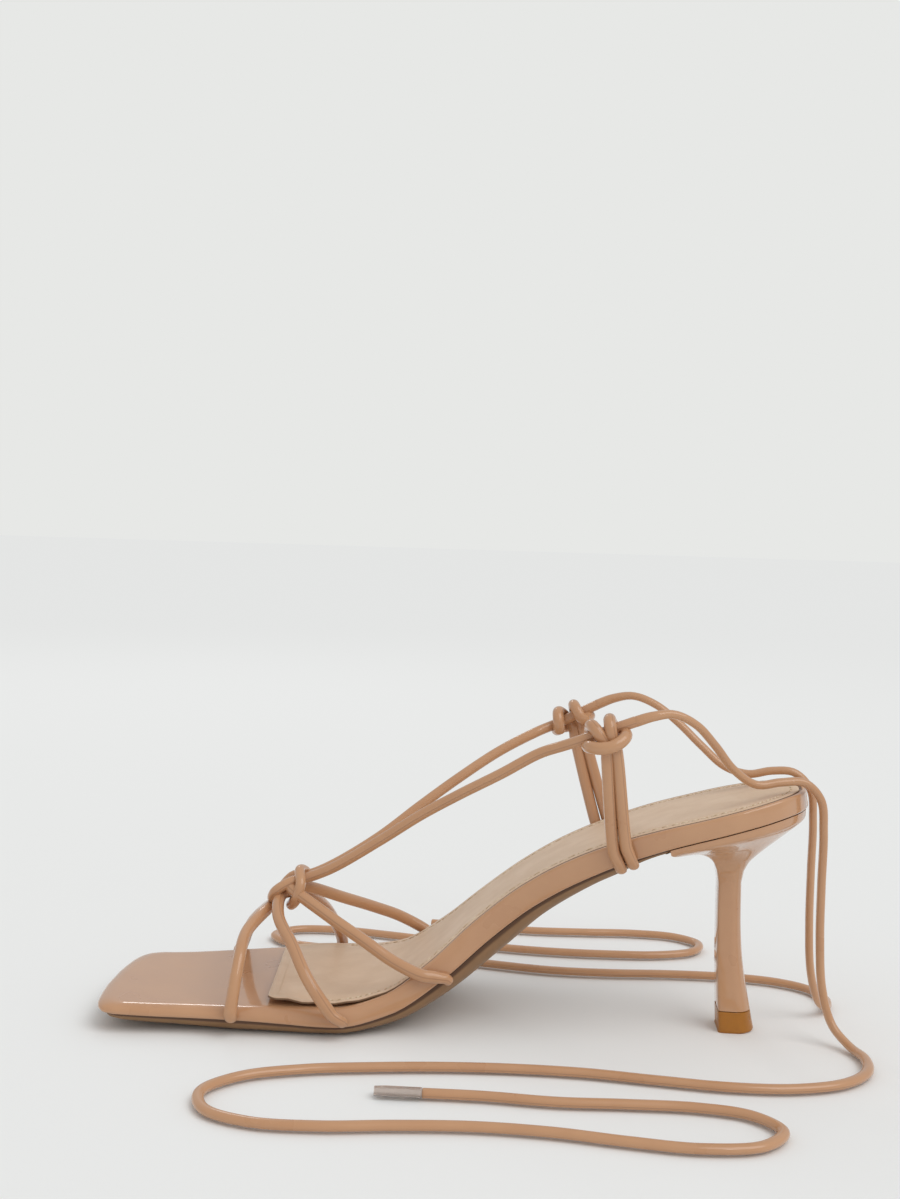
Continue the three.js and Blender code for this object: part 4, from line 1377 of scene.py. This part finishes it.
@dataclass(frozen=True)
class Upper:
    """All rolled straps and laces of the upper, each a piece of its own."""

    last: Last
    foot_thickness: float = 3.5
    foot_width: float = 4.4
    strand_spacing: float = 4.1
    forefoot_reach: float = 0.5
    pressed_length: float = 1.6
    round_length: float = 6.5
    step: float = 1.1
    stub: float = 2.35 * STRAP_DIAMETER + GLUE_GAP
    before: float = 1.6 * STRAP_DIAMETER

    def point(self, row: Spot, spread: float) -> Vector:
        """A point from a row of shares of the length, of a half spread and of the instep."""
        at, out, up = row
        return Vector((at * self.last.length, out * spread, up * INSTEP_HEIGHT))

    def foot(self, x: float, side: int, lean: float) -> list[Vector]:
        """The points of a strap's foot, from its end under the edge to the top of the side."""
        points = []
        reach = lerp(1.0, self.forefoot_reach, self.last.forefoot(x))
        for out, down, below in STRAP_FOOT.rows:
            along = x + lean * down
            a, b = self.last.edge(along - 0.5, side), self.last.edge(along + 0.5, side)
            outward = Vector((a.y - b.y, b.x - a.x)).normalized() * side
            spot = self.last.edge(along, side) + outward * (out * STRAP_RADIUS)
            depth = reach * (down * self.last.side(along) + below * self.foot_thickness)
            points.append(self.last.place(spot.x, spot.y, depth))
        return points

    def halves(self, distance: float) -> tuple[float, float]:
        """Half a strap's width and thickness at a distance from its pressed foot."""
        pressed = 1 - smooth_step(distance, self.pressed_length, self.round_length)
        wide = lerp(STRAP_DIAMETER, self.foot_width, pressed) / 2
        thin = lerp(STRAP_DIAMETER, self.foot_thickness, pressed) / 2
        return wide, thin

    def strap(self, points: Sequence[Vector], foot_at_end: bool) -> BMesh:
        """A strap along its points, pressed at each end that is a foot."""
        path = smooth_curve(points, self.step)
        pace = curve_length(path) / (len(path) - 1)
        last = len(path) - 1
        ways = carried_ways(path, UP, UP if foot_at_end else None)

        def halves(k: int) -> tuple[float, float]:
            return self.halves((min(k, last - k) if foot_at_end else k) * pace)

        return Tube(path, ways, halves, end_round=1.2).build()

    def build_vamp(self, leather: Material) -> list[Object]:
        """The three straps over the foot."""
        pieces = []
        for strap in VAMP_STRAPS:
            medial, lateral = (
                self.foot(end.at * self.last.length, side, end.lean * STRAP_DIAMETER)
                for end, side in ((strap.medial, 1), (strap.lateral, -1))
            )
            arch = [self.point(row, self.last.ball_width / 2) for row in strap.arch]
            bm = self.strap([*medial, *arch, *reversed(lateral)], foot_at_end=True)
            pieces.append(finish_piece(strap.name, bm, leather, ["upper_straps"]))
        return pieces

    def hitch(self, loop: AnkleLoop) -> HitchFrame:
        """The frame of an ankle loop's hitch."""
        side = loop.side.value
        height = loop.up * INSTEP_HEIGHT
        center = Vector((loop.knot * self.last.length, side * LOOP_SPREAD, height))
        along = Vector((-1, -0.05 * side, loop.lean)).normalized()
        outward = square_to(Vector((0, side, 0)), along)
        return HitchFrame(center, along, along.cross(outward) * -side, outward)

    def build_ankle_loop(
        self, loop: AnkleLoop, leather: Material
    ) -> list[Object]:
        """An ankle loop: its two strands, each turned over the lace, and the bar that joins them."""
        frame = self.hitch(loop)
        pieces = []
        for k, rows in enumerate(HITCH_STRANDS):
            x = loop.foot * self.last.length + (0.5 - k) * self.strand_spacing
            points = [*self.foot(x, loop.side.value, 0), *map(frame.at, rows)]
            bm = self.strap(points, foot_at_end=False)
            name = f"{loop.name}_strand_{k + 1}"
            pieces.append(finish_piece(name, bm, leather, ["upper_straps"]))
        path = smooth_curve([frame.at(row) for row in HITCH_BAR], self.step)
        ways = carried_ways(path, any_across(path))
        bar = Tube(path, ways, steady(STRAP_DIAMETER, STRAP_DIAMETER), end_round=0.5).build()
        name = f"{loop.name}_bar"
        pieces.append(finish_piece(name, bar, leather, ["upper_straps"]))
        return pieces

    def build_lace(self, leather: Material) -> Object:
        """The lace from one ankle loop down to the front knot, round it and up to the other."""
        medial, lateral = (self.hitch(loop) for loop in ANKLE_LOOPS)

        def through(frame: HitchFrame, distance: float) -> Vector:
            return frame.center + frame.along * distance

        points = [
            *(through(medial, distance) for distance in (self.stub, 0, -self.before)),
            *(self.point(row, LOOP_SPREAD) for row in reversed(LACE_MEDIAL)),
            *(self.point(row, LOOP_SPREAD) for row in (*BIGHT, *LACE_LATERAL)),
            *(through(lateral, distance) for distance in (-self.before, 0, self.stub)),
        ]
        path = smooth_curve(points, self.step)
        ways = carried_ways(path, any_across(path))
        bm = Tube(path, ways, steady(LACE_WIDTH, LACE_WIDTH), end_round=0.2).build()
        return finish_piece("lace_front", bm, leather, ["upper_straps"])

    def build_keeper(self, leather: Material) -> Object:
        """The keeper, a closed turn of cord that binds the laces to the vamp straps."""
        path = smooth_curve([self.point(row, LOOP_SPREAD) for row in KEEPER], 0.9, closed=True)
        middle = sum(path, Vector()) / len(path)
        ways = []
        for k, point in enumerate(path):
            along = (path[(k + 1) % len(path)] - path[k - 1]).normalized()
            ways.append((along, square_to(point - middle, along)))
        bm = Tube(path, ways, steady(LACE_WIDTH, LACE_WIDTH), closed=True).build()
        return finish_piece("keeper_knot", bm, leather, ["upper_straps"])


TIE_MEDIAL_POINTS = (
    (38.2, 25.9, 106.3), (32.5, 25.6, 108.2), (25.5, 23.9, 108.9), (18, 21.5, 105.4),
    (11.5, 18.8, 98.6), (5, 16.1, 90.6), (-3, 13.4, 85.4), (-11.5, 11.2, 86.2),
    (-19.5, 9.8, 86.1), (-25, 9.3, 80.5), (-26.2, 9, 70), (-26, 9, 52),
    (-26, 9.2, 34), (-27, 10, 18), (-30, 12.5, 7), (-34.5, 18.5, 2.4),
    (-37.5, 28, 2), (-35.5, 40, 2), (-27, 50, 2), (-12, 56.5, 2),
    (8, 58.5, 2), (30, 56.5, 2), (52, 54, 2), (74, 54, 2),
    (96, 56, 2), (117, 59.5, 2), (138, 64.5, 2), (155, 72.5, 2),
    (164, 85, 2), (160, 97.5, 2), (146, 104, 2), (127, 104, 2),
    (106, 100.5, 2), (84, 98, 2), (62, 98.5, 2), (41, 101.5, 2),
    (22, 103, 2), (5, 99, 2), (-2, 88.5, 2), (5, 79, 2),
    (20, 75.5, 2), (40, 76, 2), (61, 77.5, 2), (82, 76.5, 2),
    (100, 77, 2),
)
TIE_LATERAL_POINTS = (
    (48.8, -26, 105.2), (43, -25.8, 107.7), (36, -24.8, 109), (28, -22.8, 106.4),
    (20, -20.1, 100.6), (12, -17.4, 93.2), (4, -14.9, 86.6), (-4, -12.8, 84.6),
    (-12, -11.4, 86.3), (-19.5, -10.4, 86.1), (-25, -10, 80.5), (-26.2, -10, 70),
    (-26, -10, 52), (-26, -10.2, 34), (-27, -11, 18), (-30, -13.5, 7),
    (-34, -19.5, 2.4), (-36, -29, 2), (-32, -39.5, 2), (-21, -46.5, 2),
    (-3, -49.5, 2), (18, -49, 2), (40, -46.5, 2), (62, -46, 2),
    (84, -49.5, 2), (106, -54.5, 2), (128, -57.5, 2), (149, -59, 2),
    (166, -63.5, 2), (173, -73, 2), (166, -82, 2), (149, -84.5, 2),
    (128, -81, 2), (106, -76, 2), (84, -72, 2), (62, -70, 2),
    (40, -70.5, 2), (20, -73, 2), (6, -80, 2), (3, -91, 2),
    (12, -99.5, 2), (28, -101.5, 2), (49, -99.5, 2), (70, -98, 2),
    (92, -99.5, 2), (112, -102, 2),
)


@dataclass(frozen=True)
class TipSleeve:
    """The clear tube pushed over a tie's tip, open at its end."""

    length: float = 14.0
    outer: float = 4.6
    height: float = 2.9
    wall: float = 0.35

    def build(self, end: Vector, along: Vector, vinyl: Material) -> Object:
        """The sleeve from just beyond the tie's end.

        Args:
            end: The tie's last point.
            along: The way that the tie points there.
            vinyl: Its finish.

        Returns:
            The sleeve.
        """
        start = end + along * GLUE_GAP
        steps = 18
        outer, inner = [], []
        for k in range(steps + 1):
            share = k / steps
            middle = start + along * (self.length * share)
            pinch = 1 - 0.14 * smooth_step(share, 0.75, 1.0)
            for walls, trim in ((outer, 0.0), (inner, self.wall)):
                half_wide = (self.outer / 2) * lerp(pinch, 1.0, 0.5) - trim
                half_high = (self.height / 2) * pinch - trim
                walls.append((middle, half_wide, half_high))
        bm = bmesh.new()
        across = UP.cross(along)
        turns = [2 * math.pi * i / 24 for i in range(24)]
        rings = [
            [
                middle + across * (half_wide * math.cos(turn)) + UP * (half_high * math.sin(turn))
                for turn in turns
            ]
            for middle, half_wide, half_high in [*outer, *reversed(inner)]
        ]
        bridge_rings(bm, rings, closed=True)
        name = "tip_sleeve_clear"
        return finish_piece(name, bm, vinyl, ["tie_tip_sleeve"], forward=0.0)


@dataclass(frozen=True)
class Tie:
    """A loose lace from an ankle loop over the seat and down to the floor, unwound."""

    name: str
    node: str
    points: tuple[Spot, ...]
    length: float
    far_end: str
    step: float = 1.4
    flat_from: float = 15.0

    def path(self) -> list[Vector]:
        """The middle line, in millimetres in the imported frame."""
        return smooth_curve([Vector(point) for point in self.points], self.step)

    def build(
        self, leather: Material, sleeve: TipSleeve | None, vinyl: Material
    ) -> list[Object]:
        """The tie, with the sleeve on its tip where it has one."""
        path = self.path()
        ways = level_on_floor(carried_ways(path, UP))

        def halves(k: int) -> tuple[float, float]:
            flat = smooth_step(k * self.step, 0.0, self.flat_from)
            return LACE_WIDTH / 2, lerp(LACE_WIDTH, LACE_THICKNESS, flat) / 2

        bm = Tube(path, ways, halves, sides=18, end_round=0.3).build()
        tie = finish_piece(self.name, bm, leather, [self.node], forward=0.0)
        pieces = [tie]
        if sleeve is not None:
            along = (path[-1] - path[-2]).normalized()
            pieces.append(sleeve.build(path[-1], along, vinyl))
        return pieces


TIES = (
    Tie("tie_medial_lace", "tie_medial", TIE_MEDIAL_POINTS, 0.688, "fitting"),
    Tie("tie_lateral_lace", "tie_lateral", TIE_LATERAL_POINTS, 0.703, "bare"),
)


@dataclass(frozen=True)
class Studio:
    """A pale seamless floor, soft light and the camera of the product view."""

    floor_colour: str = "#F0F1F0"
    backdrop_colour: str = "#E7E8E6"
    floor_size: float = 12.0
    ambient: float = 0.68
    mirrored: float = 0.54
    key_strength: float = 0.84
    key_spread: float = 42.0
    key_way: tuple[float, float, float] = (-0.45, 0.3, 0.8)
    glint_size: float = 0.16
    glint_power: float = 0.5
    middle: tuple[float, float, float] = (0.09, 0.0, 0.04)
    lens: float = 56.432
    sensor: float = 36.0
    shift: tuple[float, float] = (0.01415, -0.07757)
    place: tuple[float, float, float] = (0.06812, 0.48849, 0.16686)
    heading: float = 4.517
    roll: float = 1.695

    def add_camera(self) -> None:
        """The camera: level, with the photograph's heading, roll and framing."""
        turn, roll = math.radians(self.heading), math.radians(self.roll)
        forward = Vector((math.sin(turn), -math.cos(turn), 0))
        right = Vector((-math.cos(turn), -math.sin(turn), 0))
        rolled_right = right * math.cos(roll) + UP * math.sin(roll)
        rolled_up = UP * math.cos(roll) - right * math.sin(roll)
        data = bpy.data.cameras.new("camera")
        data.lens, data.sensor_width, data.sensor_fit = self.lens, self.sensor, "HORIZONTAL"
        data.shift_x, data.shift_y = self.shift
        data.clip_start, data.clip_end = 0.01, 50.0
        camera = bpy.data.objects.new("camera", data)
        facing = Matrix((rolled_right, rolled_up, -forward)).transposed().to_4x4()
        camera.matrix_world = Matrix.Translation(self.place) @ facing
        bpy.context.scene.collection.objects.link(camera)
        bpy.context.scene.camera = camera

    def add_floor(self) -> None:
        """A wide matt floor that the shoe rests on."""
        recipe = Recipe("floor_paper")
        pattern = {"Vector": recipe.place, "Scale": per_metre(3.0)}
        tooth = recipe.add("TexNoise", "Fac", pattern)
        bump = {"Strength": 0.2, "Distance": 0.02 * MM, "Height": tooth}
        paper = {"Base Color": linear(self.floor_colour), "Roughness": 0.9, "Specular IOR Level": 0.0}
        normal = recipe.add("Bump", "Normal", bump)
        bm = bmesh.new()
        bmesh.ops.create_grid(bm, x_segments=8, y_segments=8, size=self.floor_size)
        mesh = bpy.data.meshes.new("floor")
        bm.to_mesh(mesh)
        bm.free()
        mesh.materials.append(recipe.finished({**paper, "Normal": normal}))
        floor = bpy.data.objects.new("floor", mesh)
        bpy.context.scene.collection.objects.link(floor)

    def aim(self, data: Light, place: Vector) -> None:
        """Puts a light where it faces the shoe."""
        light = bpy.data.objects.new(data.name, data)
        turn = (Vector(self.middle) - place).to_track_quat("-Z", "Y")
        light.matrix_world = Matrix.Translation(place) @ turn.to_matrix().to_4x4()
        bpy.context.scene.collection.objects.link(light)

    def add_key(self) -> None:
        """The key light, as wide in the sky as a large soft box and as even as daylight."""
        data = bpy.data.lights.new("key", "SUN")
        data.energy, data.angle = self.key_strength, math.radians(self.key_spread)
        self.aim(data, Vector(self.key_way) * 2)

    def add_glint(self, name: str, place: tuple[float, float, float]) -> None:
        """A small weak soft box that only draws glints on the lacquer."""
        data = bpy.data.lights.new(name, "AREA")
        data.shape, data.size, data.energy = "SQUARE", self.glint_size, self.glint_power
        self.aim(data, Vector(place))

    def add_world(self) -> None:
        """Even light from all round, a dimmer room in the lacquer and a pale backdrop in view."""
        world = bpy.data.worlds.new("studio")
        bpy.context.scene.world = world
        nodes = Nodes(world)
        white = (1.0, 1.0, 1.0, 1.0)
        shown = nodes.add("Background", 0, {"Color": linear(self.backdrop_colour)})
        lit = nodes.add("Background", 0, {"Color": white, "Strength": self.ambient})
        dim = nodes.add("Background", 0, {"Color": white, "Strength": self.mirrored})
        glossy = nodes.add("LightPath", "Is Glossy Ray")
        seen = nodes.add("LightPath", "Is Camera Ray")
        around = nodes.add("MixShader", 0, {0: glossy, 1: lit, 2: dim})
        mixed = nodes.add("MixShader", 0, {0: seen, 1: around, 2: shown})
        nodes.add("OutputWorld", 0, {"Surface": mixed})

    def build(self) -> None:
        """All of the studio but the camera."""
        bpy.context.scene.view_settings.view_transform = "Standard"
        self.add_world()
        self.add_floor()
        self.add_key()
        self.add_glint("glint_front", (-0.5, 1.0, 0.9))
        self.add_glint("glint_back", (0.5, -1.1, 0.9))


def main() -> None:
    """Builds the sandal over its frame, piece by piece."""
    logging.basicConfig(level=logging.INFO, format="%(message)s")
    for stale in list(bpy.data.objects):
        bpy.data.objects.remove(stale)
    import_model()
    studio = Studio()
    studio.add_camera()

    wrapped = PatentLeather().make()
    rolled = PatentLeather(Cut.ROLLED, wave_mm=7.0, wave_height=0.03, coat=0.7).make()
    vinyl = ClearTubing().make()
    for tie, sleeve in zip(TIES, (TipSleeve(), None)):
        tie.build(rolled, sleeve, vinyl)

    last = Last()
    Footbed(last).build(wrapped)
    lining = SockLining(last)
    lining.build(LiningLeather().make())
    lining.build_stitches(SewingThread().make())
    sole_rubber = MouldedPlastic("sole_rubber", ("#80603F", "#9C7753"))
    Outsole(last).build(sole_rubber.make())
    heel = Heel(last)
    heel.build(wrapped)
    lift = MouldedPlastic(
        "top_lift_polyurethane",
        ("#9A6119", "#B5751F"),
        cloud_mm=5.0,
        roughness=(0.25, 0.38),
        translucency=0.15,
    )
    heel.build_top_lift(lift.make())

    upper = Upper(last)
    upper.build_vamp(rolled)
    for loop in ANKLE_LOOPS:
        upper.build_ankle_loop(loop, rolled)
    upper.build_lace(rolled)
    upper.build_keeper(rolled)

    studio.build()
    bpy.context.view_layer.update()


if __name__ == "__main__":
    main()
